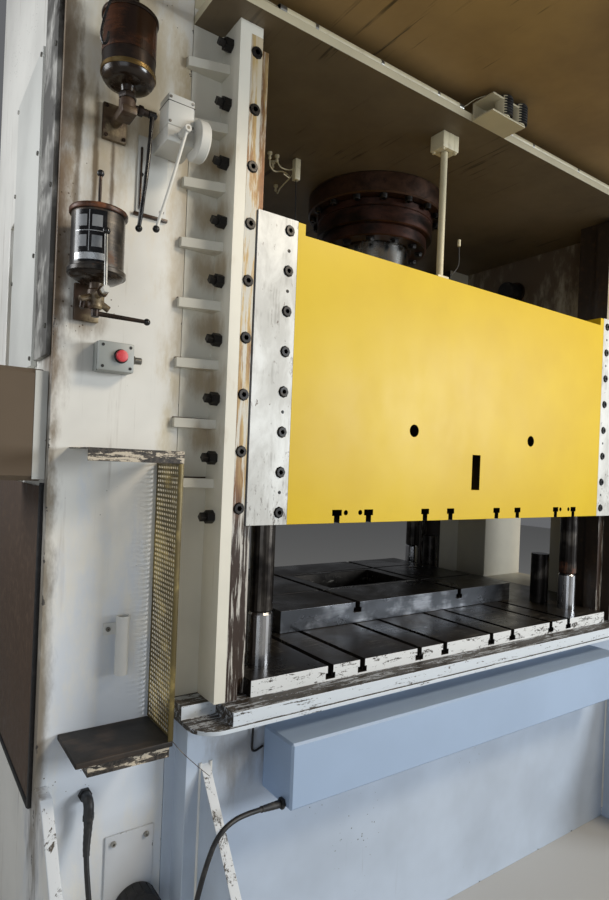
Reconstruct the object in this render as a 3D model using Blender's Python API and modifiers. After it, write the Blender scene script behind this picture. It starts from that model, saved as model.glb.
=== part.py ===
"""Straight-side hydraulic press: uprights, bed with T-slotted bolster, guided slide and one main cylinder.

Metres, +Z up. X runs to the operator's right and Y from the front to the back. The origin is on the floor,
under the middle of the bed. Most places are given as a distance out from the middle plane X = 0, a setback
behind the working front plane, and a height over the bolster's top.
"""

import math

import bmesh
import bpy
from mathutils import Matrix, Vector

# Clearances and cutting
gap = 0.0003
overrun = 0.010
merge_distance = 0.00001
grid_digits = 6
auto_smooth_deg = 35
route_steps = 24
corner_steps = 8
bowl_steps = 5
rod_sides = 12
pipe_sides = 16
pin_sides = 10
barrel_sides = 24
ball_rings = 6
rod_round_steps = 2

# Main frame
table_height = 0.950
working_depth = 1.230
crown_clearance = 1.775
crown_height = 0.800
column_inner = 1.100
upright_width = 0.327
column_setback = 0.103
window_depth = 0.410
window_height = 1.350
bolster_thickness = 0.093

half_depth = working_depth / 2
column_face = half_depth - column_setback
upright_outer = column_inner + upright_width
crown_base = table_height + crown_clearance
machine_top = crown_base + crown_height
bed_top = table_height - bolster_thickness

# Bed and foot gussets
bed_side_inset = 0.030
bed_front_setback = 0.030
gusset_inset = 0.100
gusset_thickness = 0.028
gusset_drop = 0.200
gusset_flat = 0.063
gusset_reach = 0.463
gusset_slope = 0.500
sole_height = 0.030

# Ledge in front of the bolster
ledge_bar_inset = 0.110
ledge_bar_reach = 0.070
ledge_bar_height = 0.036
ledge_inset = 0.010
ledge_corner = 0.075
ledge_thickness = 0.012
ledge_reach = 0.078
ledge_step_setback = 0.030

bed_front_half = column_inner - bed_side_inset
gusset_inner = column_inner - gusset_inset
ledge_half = column_inner - ledge_inset
ledge_bar_half = column_inner - ledge_bar_inset

# T-slots, shared by slide, bolster and die plate
tslot_unit = 0.125
tslot_steps = (1, 2, 4, 5)
tslot_neck = 0.021
tslot_neck_depth = 0.022
tslot_head = 0.036
tslot_depth = 0.040

# Guides
guide_clearance = 0.0005
way_room = 0.200
strip_thickness = 0.040
strip_lap = 0.036
strip_width = 0.131
strip_rise = 0.034
strip_screws = 8
strip_screw_pitch = 0.1132
strip_screw_first = 0.0345
strip_screw_inset = 0.028
lip_gap = 0.007
rail_lip_width = 0.035
rail_depth = 0.100
rail_top_drop = 0.028
rail_screws = 9
rail_screw_pitch = 0.1534
rail_screw_first = 0.475
carrier_margin = 0.034
carrier_depth = 0.210
rib_width = 0.106
rib_height = 0.032
rib_reach = 0.050
nut_across = 0.040
nut_length = 0.022
stud_across = 0.022
stud_length = 0.050
adjuster_setback = 0.050

slide_flank = column_inner - way_room
strip_outer = slide_flank + strip_lap
slide_face_half = strip_outer - strip_width
way_inner = slide_flank + guide_clearance
rail_lip = strip_outer + lip_gap
rail_outer = rail_lip + rail_lip_width
carrier_outer = rail_outer + carrier_margin

# Screws with sunk heads
counterbore_radius = 0.017
counterbore_depth = 0.012
head_radius = 0.0125
head_height = 0.008
screw_sides = 8

# Slide
slide_bottom = 0.428
slide_height = 0.827
slide_end_plate = 0.026
slide_end_rise = 0.032
slide_hole_radius = 0.0205
slide_hole_place = 0.316
slide_hole_height = 0.726
slide_slot_width = 0.043
slide_slot_low = 0.533
slide_slot_high = 0.659
slide_pocket_depth = 0.060
pin_hole_radius = 0.008
pin_hole_inset = 0.034

# Bolster, die plate and stops
die_left_room = 0.220
die_right_room = 0.105
die_setback = 0.350
die_depth = 0.790
die_thickness = 0.080
die_slot_offset = 0.290
die_groove_width = 0.012
die_groove_depth = 0.030
die_groove_setbacks = (0.235, 0.575)
die_opening_width = 0.455
die_opening_setback = 0.255
die_opening_depth = 0.290
post_inset = 0.095
post_setback = 0.125
post_radius = 0.037
post_tip_radius = 0.033
post_sides = 24
plunger_exposed = 0.156
plunger_buried = 0.220
plunger_stroke = 0.150
bore_clearance = 0.0008
plunger_band = 0.006
stop_radius = 0.040
stop_height = 0.227
stop_step = 0.140
stop_cap = 0.014

# Main cylinder
flange_radius = 0.294
flange_thickness = 0.112
gland_radius = 0.252
gland_height = 0.130
gland_nose_radius = 0.228
gland_nose_height = 0.070
ram_radius = 0.153
barrel_radius = 0.235
barrel_rise = 0.090
barrel_cap = 0.120
ram_clamp_radius = 0.215
ram_clamp_height = 0.036
ram_top_room = 0.200
gland_bolts = 12
gland_bolt_radius = 0.016
gland_bolt_height = 0.018
round_sides = 44

# Slide position rod and its guide
rod_place = -0.162
rod_setback = 0.062
rod_radius = 0.012
rod_rise = 0.160
rod_foot_size = (0.056, 0.040, 0.026)
rod_block_size = (0.078, 0.062, 0.056)
rod_room = 0.180

post_place = slide_flank - post_inset
die_left = -(post_place - die_left_room)
die_right = post_place - die_right_room

# Crown front: bottom plate edge, tubes and switch bracket
crown_lip_reach = 0.060
crown_lip_thickness = 0.025
tube_radius = 0.0135
tube_end_room = 0.176
tube_left_end = -0.196
tube_right_start = 0.040
tube_setback = -0.040
switch_bracket_span = (-0.165, 0.005)
switch_bracket_depth = 0.085
switch_bracket_height = 0.060
switch_bracket_wall = 0.006
sensor_radius = 0.026
sensor_height = 0.064
sensor_inset = 0.040

# Tank that overhangs the front of the crown
tank_overhang = 0.140
tank_reach = 0.720
tank_height = 0.420
tank_drop = 0.085
tank_lid = 0.020
tank_lid_margin = 0.024

# Cover box on the bed's front
box_inset = 0.265
box_reach = 0.120
box_low = 0.322
box_high = 0.143
box_round = 0.006

# Fittings on the left upright
estop_inset = 0.188
estop_height = 0.846
estop_size = (0.088, 0.052, 0.072)
button_radius = 0.0145
button_length = 0.020
button_stem_radius = 0.009
button_travel = 0.005
button_offset = (0.010, 0.002)
entry_radius = 0.009
entry_length = 0.026

rack_clearance = 0.065
rack_length = 0.225
rack_reach = 0.172
rack_low = -0.080
rack_high = 0.620
rack_sheet = 0.003
rack_board = 0.014
rack_bar = 0.030
rack_hem = 0.010

rack_inner = ledge_half + rack_clearance
rack_outer = rack_inner + rack_length

tube_holder_inset = 0.139
tube_holder_low = 0.052
tube_holder_high = 0.200
tube_holder_radius = 0.0165
tube_holder_wall = 0.0025
tube_holder_stand = 0.012
clip_size = (0.040, 0.003, 0.030)
clip_height = 0.163

cover_left_inset = 0.153
cover_right_inset = 0.026
cover_high = -0.372
cover_low = -0.760
cover_thickness = 0.006
cover_screw_inset = 0.020
cover_screw_radius = 0.007
cap_inset = 0.072
cap_height = -0.570
cap_radius = 0.058
cap_length = 0.060

side_box_depth = 0.190
side_box_setback = 0.125
side_box_length = 0.270
side_box_low = 0.535
side_box_high = 0.805
side_box_round = 0.012

# Oilers on the left upright: A above, B below
oiler_a_inset = 0.203
oiler_a_stand = 0.103
oiler_a_rise = 0.458
oiler_a_height = 0.205
oiler_a_radius = 0.062
oiler_b_inset = 0.254
oiler_b_stand = 0.088
oiler_b_rise = 0.158
oiler_b_height = 0.172
oiler_b_radius = 0.061
oiler_a_band_share = 0.42
oiler_b_band_share = 0.16
oiler_rim = 0.005
oiler_band = 0.012
oiler_sides = 26
pump_radius = 0.020
pump_drop = 0.060
pump_boss_a = 0.052
pump_boss_b = 0.068
pump_foot = (0.060, 0.012, 0.090)
lever_a_length = 0.280
lever_a_lean = -0.022
lever_b_length = 0.130
lever_b_lean = -0.003
lever_radius = 0.0055
lever_bow = 0.010
knob_radius = 0.0085
wrist_radius = 0.009
lever_hub = 0.018
lever_steps = 8
pull_radius = 0.004
pull_height = 0.086
pull_buried = 0.070
handle_length = 0.125
handle_radius = 0.006

# Switch unit beside oiler A
switch_inset = 0.067
switch_rise = 0.005
switch_stand = 0.043
switch_size = (0.070, 0.060, 0.078)
switch_plate = (0.080, 0.005, 0.200)
switch_plate_inset = 0.100
switch_block = (0.080, 0.040)
switch_block_lap = 4
switch_disc_radius = 0.050
switch_disc_length = 0.018
wand_length = 0.262
wand_lean = -0.068
wand_radius = 0.004
wand_hub = 0.048

# Free cable between the cover box and the elbow on the left upright
elbow_inset = 0.209
elbow_height = -0.245
elbow_radius = 0.014
elbow_reach = 0.042
elbow_drop = 0.045
cable_radius = 0.0065
cable_exit_reach = 0.012

oiler_b_low = estop_height + oiler_b_rise
oiler_a_low = oiler_b_low + oiler_a_rise
switch_height = oiler_a_low + switch_rise
estop_place = -(column_inner + estop_inset)
tube_holder_place = -(column_inner + tube_holder_inset)
cover_left = -(column_inner + cover_left_inset)
cover_right = -(column_inner + cover_right_inset)
cap_place = -(column_inner + cap_inset)
oiler_a_place = -(column_inner + oiler_a_inset)
oiler_b_place = -(column_inner + oiler_b_inset)
switch_place = -(column_inner + switch_inset)
switch_plate_place = -(column_inner + switch_plate_inset)
elbow_place = -(column_inner + elbow_inset)
box_half = column_inner - box_inset
tank_half = column_inner + tank_overhang
tube_left = (-(column_inner - tube_end_room), tube_left_end)
tube_right = (tube_right_start, column_inner - tube_end_room)

cable_route = (
    (-0.8357, -0.7000, 0.6380),
    (-0.8500, -0.7000, 0.6380),
    (-0.8800, -0.7050, 0.6420),
    (-0.9200, -0.7150, 0.6500),
    (-0.9600, -0.7250, 0.6565),
    (-1.0000, -0.7340, 0.6580),
    (-1.0350, -0.7410, 0.6480),
    (-1.0600, -0.7460, 0.6260),
    (-1.0770, -0.7490, 0.5950),
    (-1.0900, -0.7490, 0.5570),
    (-1.1010, -0.7460, 0.5100),
    (-1.1120, -0.7400, 0.4500),
    (-1.1270, -0.7310, 0.3850),
    (-1.1490, -0.7190, 0.3200),
    (-1.1800, -0.7040, 0.2690),
    (-1.2160, -0.6860, 0.2500),
    (-1.2500, -0.6680, 0.2650),
    (-1.2770, -0.6480, 0.3080),
    (-1.2960, -0.6280, 0.3700),
    (-1.3080, -0.6080, 0.4420),
    (-1.3140, -0.5880, 0.5200),
    (-1.3150, -0.5690, 0.5900),
    (-1.3092, -0.5545, 0.6400),
    (-1.3090, -0.5543, 0.6594),
)
cable_points = 78


def collection(name):
    made = bpy.data.collections.new(name)
    bpy.context.scene.collection.children.link(made)
    return made


def clear_scene():
    for ob in list(bpy.data.objects):
        bpy.data.objects.remove(ob)


def material(name, colour, roughness, metallic=0.0):
    made = bpy.data.materials.new(name)
    made.use_nodes = True
    shader = made.node_tree.nodes["Principled BSDF"]
    shader.inputs["Base Color"].default_value = (*colour, 1)
    shader.inputs["Roughness"].default_value = roughness
    shader.inputs["Metallic"].default_value = metallic
    return made


def front_to_back(end, setback):
    """Y of a place that lies setback behind the working face of one end: -1 is the front, +1 the back."""
    return end * (half_depth - setback)


def over_table(height):
    return table_height + height


# Making solids


def finish(ob, mat):
    ob.data.materials.clear()
    ob.data.materials.append(mat)
    ob.data.shade_smooth()
    ob.data.set_sharp_from_angle(angle=math.radians(auto_smooth_deg))
    return ob


def new_object(name, mesh, group):
    ob = bpy.data.objects.new(name, mesh)
    group.objects.link(ob)
    return ob


def from_bmesh(name, bm, group):
    mesh = bpy.data.meshes.new(name)
    for vert in bm.verts:
        vert.co = [round(c, grid_digits) for c in vert.co]
    bmesh.ops.recalc_face_normals(bm, faces=bm.faces)
    bm.to_mesh(mesh)
    bm.free()
    return new_object(name, mesh, group)


def add_box(bm, low, high):
    """A box between two corners, given in any order."""
    low, high = Vector(low), Vector(high)
    size = Vector(abs(h - l) for l, h in zip(low, high))
    place = Matrix.Translation((low + high) / 2) @ Matrix.Diagonal((*size, 1))
    bmesh.ops.create_cube(bm, size=1, matrix=place)


def add_rod(bm, start, end, radius, sides, end_radius=None):
    """A cylinder, cone or prism between two points."""
    start, end = Vector(start), Vector(end)
    way = end - start
    turn = way.to_track_quat("Z", "Y").to_matrix().to_4x4()
    place = Matrix.Translation((start + end) / 2) @ turn
    last = radius if end_radius is None else end_radius
    bmesh.ops.create_cone(
        bm, cap_ends=True, segments=sides, radius1=radius, radius2=last, depth=way.length, matrix=place
    )


def boxes(name, corner_pairs, group):
    bm = bmesh.new()
    for low, high in corner_pairs:
        add_box(bm, low, high)
    return from_bmesh(name, bm, group)


def rods(name, ends, radius, sides, group):
    bm = bmesh.new()
    for start, end in ends:
        add_rod(bm, start, end, radius, sides)
    return from_bmesh(name, bm, group)


PLANES = {
    "X": Matrix(((0, 0, 1, 0), (1, 0, 0, 0), (0, 1, 0, 0), (0, 0, 0, 1))),
    "Y": Matrix(((1, 0, 0, 0), (0, 0, -1, 0), (0, 1, 0, 0), (0, 0, 0, 1))),
    "Z": Matrix.Identity(4),
}


def outline_solid(name, loops, axis, low, high, group):
    """Flat outlines, holes included, made as thick as low to high along one axis.

    The outline's two coordinates are Y and Z along X, X and Z along Y, and X and Y along Z.
    """
    curve = bpy.data.curves.new(name, "CURVE")
    curve.dimensions = "2D"
    curve.fill_mode = "BOTH"
    curve.extrude = abs(high - low) / 2
    for loop in loops:
        spline = curve.splines.new("POLY")
        spline.points.add(len(loop) - 1)
        for point, (a, b) in zip(spline.points, loop):
            point.co = (a, b, 0, 1)
        spline.use_cyclic_u = True
    drawn = new_object(name + "_outline", curve, group)
    bm = bmesh.new()
    bm.from_mesh(mesh_of(drawn))
    bpy.data.objects.remove(drawn)
    bmesh.ops.remove_doubles(bm, verts=bm.verts, dist=merge_distance)
    if len(loops) == 1:
        for side in (-1, 1):
            cap = [f for f in bm.faces if all(side * v.co.z > 0 for v in f.verts)]
            bmesh.ops.dissolve_faces(bm, faces=cap)
    shift = [0, 0, 0]
    shift["XYZ".index(axis)] = (low + high) / 2
    bmesh.ops.transform(bm, matrix=Matrix.Translation(shift) @ PLANES[axis], verts=bm.verts)
    return from_bmesh(name, bm, group)


def mesh_of(ob):
    """The evaluated mesh of an object, as new mesh data."""
    bpy.context.view_layer.update()
    graph = bpy.context.evaluated_depsgraph_get()
    return bpy.data.meshes.new_from_object(ob.evaluated_get(graph))


def turned(name, profile, sides, group, centre=(0, 0, 0), turn=Matrix.Identity(4)):
    """A profile of (radius, height) points, outer side from top to bottom, turned about +Z, then placed."""
    bm = bmesh.new()
    points = [bm.verts.new((r, 0, h)) for r, h in profile]
    closed = profile[0][0] > 0
    ring = points + points[:1] if closed else points
    for a, b in zip(ring, ring[1:]):
        bm.edges.new((a, b))
    mesh = bpy.data.meshes.new(name)
    bm.to_mesh(mesh)
    bm.free()
    ob = new_object(name, mesh, group)
    screw = ob.modifiers.new("turn", "SCREW")
    screw.steps = screw.render_steps = sides
    screw.use_merge_vertices = True
    screw.merge_threshold = merge_distance
    round_mesh = mesh_of(ob)
    bpy.data.objects.remove(ob)
    bm = bmesh.new()
    bm.from_mesh(round_mesh)
    bmesh.ops.transform(bm, matrix=Matrix.Translation(centre) @ turn, verts=bm.verts)
    return from_bmesh(name, bm, group)


def combine(ob, other, operation):
    """Cut other out of ob, or weld it on, with an exact Boolean that stays on the object."""
    other.hide_render = True
    other.display_type = "WIRE"
    step = ob.modifiers.new(operation.lower(), "BOOLEAN")
    step.operation = operation
    step.solver = "EXACT"
    step.object = other
    return ob


def cut(ob, cutter):
    return combine(ob, cutter, "DIFFERENCE")


def weld(ob, other):
    return combine(ob, other, "UNION")


def soften(ob, width, segments=1):
    bevel = ob.modifiers.new("edge", "BEVEL")
    bevel.width = width
    bevel.segments = segments
    bevel.limit_method = "ANGLE"
    return ob


def arc(centre, radius, start_deg, end_deg, count):
    """Points along an arc, both ends included."""
    turn = [math.radians(start_deg + (end_deg - start_deg) * i / count) for i in range(count + 1)]
    return [(centre[0] + radius * math.cos(t), centre[1] + radius * math.sin(t)) for t in turn]


def mirrored(half):
    """A closed outline from its right half, which runs from the middle plane back to the middle plane."""
    return half + [(-x, y) for x, y in reversed(half) if x != 0]


def tslot_edge(left, right, level, inward, centres):
    """A straight edge from left to right with a T-slot at each centre, cut to the inward side."""
    points = [(left, level)]
    neck, head = tslot_neck / 2, tslot_head / 2
    shoulder, bottom = level + inward * tslot_neck_depth, level + inward * tslot_depth
    for c in centres:
        points += [(c - neck, level), (c - neck, shoulder), (c - head, shoulder), (c - head, bottom)]
        points += [(c + head, bottom), (c + head, shoulder), (c + neck, shoulder), (c + neck, level)]
    return points + [(right, level)]


def tslot_centres():
    places = [tslot_unit * step for step in tslot_steps]
    return [-p for p in reversed(places)] + places


def sunk_screws(name, places, end, group):
    """Counterbores and the screw heads that stand in them: (cutter, heads)."""
    face = [(x, front_to_back(end, 0), z) for x, z in places]
    inward = Vector((0, -end, 0))
    bores = [(Vector(p) - inward * overrun, Vector(p) + inward * counterbore_depth) for p in face]
    floor = counterbore_depth + overrun
    top = counterbore_depth - head_height
    heads = [(Vector(p) + inward * floor, Vector(p) + inward * top) for p in face]
    return (
        rods(name + "_bores", bores, counterbore_radius, screw_sides, group),
        rods(name + "_heads", heads, head_radius, screw_sides, group),
    )


# Frame


def bed(parts, cutters, mat):
    """The bed block, stepped forward between the uprights, with its foot gussets and plunger bores."""
    side = column_inner - gap
    nose = half_depth - bed_front_setback
    front = [(bed_front_half, -nose), (bed_front_half, -column_face), (side, -column_face)]
    half = [(0, -nose)] + front + [(x, -y) for x, y in reversed(front)] + [(0, nose)]
    ob = outline_solid("bed", [mirrored(half)], "Z", 0, bed_top, parts)
    for side_name, sign in (("left", -1), ("right", 1)):
        low, high = sign * gusset_inner, sign * (gusset_inner + gusset_thickness)
        for end_name, end in (("front", -1), ("rear", 1)):
            weld(ob, gusset(f"bed_gusset_{end_name}_{side_name}", low, high, end, cutters))
    bores = [
        ((x, y, bed_top - bore_depth()), (x, y, bed_top + overrun)) for x, y in post_places()
    ]
    cut(ob, rods("bed_bores", bores, post_radius + bore_clearance, post_sides, cutters))
    return finish(ob, mat)


def bore_depth():
    """How deep the plunger bores go under the bed's top."""
    return plunger_buried + plunger_stroke + overrun - bolster_thickness


def gusset(name, x_low, x_high, end, group):
    """A foot gusset: flat on top, then sloping out to the full reach, which it keeps down to the floor."""
    top = table_height - gusset_drop
    root = column_face - overrun
    outline = [
        (root, 0),
        (column_face + gusset_reach, 0),
        (column_face + gusset_reach, top - gusset_slope),
        (column_face + gusset_flat, top),
        (root, top),
    ]
    return outline_solid(name, [[(end * y, z) for y, z in outline]], "X", x_low, x_high, group)


def post_places():
    """X and Y of the four levelling posts."""
    return [(side * post_place, front_to_back(end, post_setback)) for side in (-1, 1) for end in (-1, 1)]


def upright(name, side, parts, cutters, mat):
    """One side frame: front and rear columns in one body, a window between them, and its feet."""
    low, high = side * column_inner, side * upright_outer
    window = window_depth / 2
    face = column_face
    frame_loop = [(-face, 0), (face, 0), (face, machine_top), (-face, machine_top)]
    sill, lintel = table_height, table_height + window_height
    hole = [(-window, sill), (window, sill), (window, lintel), (-window, lintel)]
    ob = outline_solid(name, [frame_loop, hole], "X", low, high, parts)
    for k, end in enumerate((-1, 1)):
        weld(ob, gusset(f"{name}_gusset_{k}", high - side * gusset_thickness, high, end, cutters))
    reach = column_face + gusset_reach
    soles = [((low, end * (face - overrun), 0), (high, end * reach, sole_height)) for end in (-1, 1)]
    weld(ob, boxes(name + "_soles", soles, cutters))
    return finish(ob, mat)


def rib_heights():
    return [over_table(rail_screw_first + rail_screw_pitch * (i + 0.5)) for i in range(rail_screws - 1)]


def screw_heights():
    return [over_table(rail_screw_first + rail_screw_pitch * i) for i in range(rail_screws)]


def carrier(name, side, end, parts, cutters, mat):
    """The guide carrier in one corner, rebated for its rail, with its ribs and adjusting bolts."""
    face, step = front_to_back(end, 0), front_to_back(end, column_setback - gap)
    back = front_to_back(end, carrier_depth)
    outer, inner, root = side * carrier_outer, side * rail_lip, side * (column_inner - gap)
    plan = [(inner, face), (outer, face), (outer, step), (root, step), (root, back), (inner, back)]
    low = over_table(-ledge_drop() + gap)
    top = crown_base - gap
    ob = outline_solid(name, [plan], "Z", low, top, parts)
    rebate_back = front_to_back(end, rail_depth + gap)
    rebate = (
        (side * (rail_lip - overrun), face + end * overrun, low - overrun),
        (side * (rail_outer + gap), rebate_back, crown_base - rail_top_drop + gap),
    )
    cut(ob, boxes(name + "_rebate", [rebate], cutters))
    rib_front = front_to_back(end, column_setback - rib_reach)
    ribs = [
        (
            (side * (carrier_outer - overrun), rib_front, z - rib_height / 2),
            (side * (carrier_outer + rib_width), step, z + rib_height / 2),
        )
        for z in rib_heights()
    ]
    weld(ob, boxes(name + "_ribs", ribs, cutters))
    bolt_y = front_to_back(end, adjuster_setback)
    bm = bmesh.new()
    for z in screw_heights():
        root_point = (side * (carrier_outer - overrun), bolt_y, z)
        nut_end = (side * (carrier_outer + nut_length), bolt_y, z)
        tip = (side * (carrier_outer + nut_length + stud_length), bolt_y, z)
        add_rod(bm, root_point, nut_end, nut_across / math.sqrt(3), 6)
        add_rod(bm, root_point, tip, stud_across / math.sqrt(2), 4)
    bolts = from_bmesh(name + "_adjusters", bm, cutters)
    bolts.modifiers.new("own", "WELD").merge_threshold = merge_distance
    weld(ob, bolts).modifiers[-1].use_self = True
    return finish(ob, mat)


def ledge_drop():
    """How far the ledge's top lies under the bolster's."""
    return bolster_thickness - ledge_thickness - ledge_bar_height


def rail(name, side, end, parts, cutters, mat):
    """One guide rail: an L-shaped bar, its lip at the front and its way behind the wear strip."""
    def y(setback):
        return front_to_back(end, setback)

    way_face = strip_thickness + guide_clearance
    plan = [
        (rail_outer, y(0)),
        (rail_outer, y(rail_depth)),
        (way_inner, y(rail_depth)),
        (way_inner, y(way_face)),
        (rail_lip, y(way_face)),
        (rail_lip, y(0)),
    ]
    low, high = over_table(-ledge_drop() + gap), crown_base - rail_top_drop
    ob = outline_solid(name, [[(side * x, yy) for x, yy in plan]], "Z", low, high, parts)
    middle = side * (rail_lip + rail_outer) / 2
    bores, heads = sunk_screws(name, [(middle, z) for z in screw_heights()], end, cutters)
    cut(ob, bores)
    weld(ob, heads)
    return finish(ob, mat)


def ledge(parts, cutters, mat):
    """The tray ledge in front of the bolster: a thin plate with rounded ends under a thicker bar."""
    notch, wall = slide_flank + gap, column_face + gap
    front = half_depth + gap
    base = bed_top + gap
    edge = -half_depth - ledge_reach
    corner = (ledge_half - ledge_corner, edge + ledge_corner)
    half = [(0, edge), *arc(corner, ledge_corner, -90, 0, corner_steps)]
    half += [(ledge_half, -wall), (notch, -wall), (notch, -front), (0, -front)]
    ob = outline_solid("bed_ledge", [mirrored(half)], "Z", base, base + ledge_thickness, parts)
    bar = [
        (0, -half_depth - ledge_bar_reach),
        (ledge_bar_half, -half_depth - ledge_bar_reach),
        (ledge_bar_half, -half_depth + ledge_step_setback),
        (ledge_half, -half_depth + ledge_step_setback),
        (ledge_half, -wall),
        (notch, -wall),
        (notch, -front),
        (0, -front),
    ]
    top = base + ledge_thickness + ledge_bar_height - gap
    low = base + ledge_thickness / 2
    weld(ob, outline_solid("ledge_bar", [mirrored(bar)], "Z", low, top, cutters))
    return finish(ob, mat)


def crown(parts, cutters, mat):
    """The crown box with its bottom plate's edges, bored for the main cylinder and the position rod."""
    lip = half_depth + crown_lip_reach
    shoulder = crown_base + crown_lip_thickness
    half = [(0, crown_base), (lip, crown_base), (lip, shoulder), (column_face, shoulder)]
    half += [(column_face, machine_top), (0, machine_top)]
    half_span = column_inner - gap
    ob = outline_solid("crown", [mirrored(half)], "X", -half_span, half_span, parts)
    hole = ((0, 0, crown_base - overrun), (0, 0, machine_top + overrun))
    cut(ob, rods("crown_bore", [hole], barrel_radius + gap, round_sides, cutters))
    y = front_to_back(-1, rod_setback)
    hole = ((rod_place, y, crown_base - overrun), (rod_place, y, shoulder + overrun))
    cut(ob, rods("crown_rod_hole", [hole], rod_radius + bore_clearance, pipe_sides, cutters))
    return finish(ob, mat)


def tank(parts, cutters, mat):
    """The oil tank that overhangs the press front, with a pocket that the position rod rises into."""
    low = crown_base + tank_drop
    high = low + tank_height
    back, front = -column_face - gap, -column_face - tank_reach
    ob = boxes("crown_tank", [((-tank_half, front, low), (tank_half, back, high))], parts)
    lid = boxes(
        "tank_lid_block",
        [
            (
                (-tank_half - tank_lid_margin, front - tank_lid_margin, high - tank_lid),
                (tank_half + tank_lid_margin, back, high + tank_lid),
            )
        ],
        cutters,
    )
    weld(ob, lid)
    y = front_to_back(-1, rod_setback)
    pocket = ((rod_place, y, low - overrun), (rod_place, y, crown_base + rod_rise + rod_room))
    cut(ob, rods("tank_rod_pocket", [pocket], rod_radius + bore_clearance, pipe_sides, cutters))
    return finish(ob, mat)


# Working parts


def bolster(parts, cutters, mat):
    """The T-slotted table plate, notched for the guides, with plunger bores and four stop blocks."""
    half = column_inner - gap
    base = bed_top + gap
    edge = tslot_edge(-half, half, table_height, -1, tslot_centres())
    outline = edge + [(half, base), (-half, base)]
    ob = outline_solid("bolster", [outline], "Y", -half_depth, half_depth, parts)
    notch = carrier_depth + gap
    cuts = [
        (
            (side * slide_flank, end * (half_depth + overrun), base - overrun),
            (side * (half + overrun), front_to_back(end, notch), table_height + overrun),
        )
        for side in (-1, 1)
        for end in (-1, 1)
    ]
    cut(ob, boxes("bolster_notches", cuts, cutters))
    bores = [((x, y, base - overrun), (x, y, table_height + overrun)) for x, y in post_places()]
    cut(ob, rods("bolster_bores", bores, post_radius + bore_clearance, post_sides, cutters))
    blocks = []
    for x, y in post_places():
        place = y + math.copysign(stop_step, -y)
        blocks.append(((x, place, table_height - tslot_depth), (x, place, over_table(stop_height))))
    weld(ob, rods("stop_blocks", blocks, stop_radius, post_sides, cutters))
    return finish(ob, mat)


def die_plate(parts, cutters, mat):
    """The raised die plate: two T-slots, two cross grooves and an opening through its middle."""
    base, top = table_height + gap, over_table(die_thickness)
    middle = (die_left + die_right) / 2
    front = -half_depth + die_setback
    edge = tslot_edge(die_left, die_right, top, -1, (middle - die_slot_offset, middle + die_slot_offset))
    outline = edge + [(die_right, base), (die_left, base)]
    ob = outline_solid("die_plate", [outline], "Y", front, front + die_depth, parts)
    grooves = [
        (
            (die_left - overrun, front + s - die_groove_width / 2, top - die_groove_depth),
            (die_right + overrun, front + s + die_groove_width / 2, top + overrun),
        )
        for s in die_groove_setbacks
    ]
    cut(ob, boxes("die_grooves", grooves, cutters))
    start = front + die_opening_setback
    opening = (
        (middle - die_opening_width / 2, start, base - overrun),
        (middle + die_opening_width / 2, start + die_opening_depth, top + overrun),
    )
    cut(ob, boxes("die_opening", [opening], cutters))
    return finish(ob, mat)


def slide(parts, cutters, mat):
    """The slide: T-slots underneath, raised end plates, rebates for the wear strips, holes and a slot."""
    low = over_table(slide_bottom)
    top = low + slide_height
    raised = top + slide_end_rise
    inside = slide_face_half - slide_end_plate
    section = tslot_edge(-slide_flank, slide_flank, low, 1, tslot_centres())
    section += [(slide_flank, raised), (inside, raised), (inside, top)]
    section += [(-inside, top), (-inside, raised), (-slide_flank, raised)]
    ob = outline_solid("slide", [section], "Y", -half_depth, half_depth, parts)
    rebates = [
        (
            (side * slide_face_half, end * (half_depth + overrun), low - overrun),
            (side * (slide_flank + overrun), front_to_back(end, strip_thickness + gap), raised + overrun),
        )
        for side in (-1, 1)
        for end in (-1, 1)
    ]
    cut(ob, boxes("slide_rebates", rebates, cutters))
    cut(ob, slide_holes(cutters))
    slot = (
        (-slide_slot_width / 2, -half_depth - overrun, over_table(slide_slot_low)),
        (slide_slot_width / 2, -half_depth + slide_pocket_depth, over_table(slide_slot_high)),
    )
    cut(ob, boxes("slide_slot", [slot], cutters))
    return finish(ob, mat)


def slide_holes(cutters):
    """Cutters for the two tapped holes and the pairs of pin holes beside the outer T-slots."""
    bm = bmesh.new()
    start, stop = -half_depth - overrun, -half_depth + slide_pocket_depth
    pin_height = over_table(slide_bottom) + (tslot_neck_depth + tslot_depth) / 2
    inner, outer = tslot_unit * tslot_steps[-2], tslot_unit * tslot_steps[-1]
    for side in (-1, 1):
        x, z = side * slide_hole_place, over_table(slide_hole_height)
        add_rod(bm, (x, start, z), (x, stop, z), slide_hole_radius, barrel_sides)
        for place in (inner + pin_hole_inset, outer - pin_hole_inset):
            pin = (side * place, start, pin_height), (side * place, stop, pin_height)
            add_rod(bm, *pin, pin_hole_radius, pin_sides)
    return from_bmesh("slide_hole_cutters", bm, cutters)


def wear_strip(name, side, end, parts, cutters, mat):
    """A bolted wear strip at one corner of the slide, which laps over the rail's way."""
    low = over_table(slide_bottom)
    top = low + slide_height + strip_rise
    corners = (
        (side * (slide_face_half + gap), front_to_back(end, 0), low),
        (side * strip_outer, front_to_back(end, strip_thickness), top),
    )
    ob = boxes(name, [corners], parts)
    x = side * (slide_face_half + strip_screw_inset)
    first = over_table(slide_bottom + strip_screw_first)
    places = [(x, first + strip_screw_pitch * i) for i in range(strip_screws)]
    bores, heads = sunk_screws(name, places, end, cutters)
    cut(ob, bores)
    weld(ob, heads)
    return finish(ob, mat)


def thrust_post(name, x, y, parts, mat):
    """The dark post under the slide that presses on a levelling plunger."""
    low, high = over_table(plunger_exposed) + gap, over_table(slide_bottom) - gap
    band = low + plunger_band
    profile = [(0, high), (post_radius, high), (post_radius, band), (post_tip_radius, low), (0, low)]
    return finish(turned(name, profile, post_sides, parts, centre=(x, y, 0)), mat)


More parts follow.
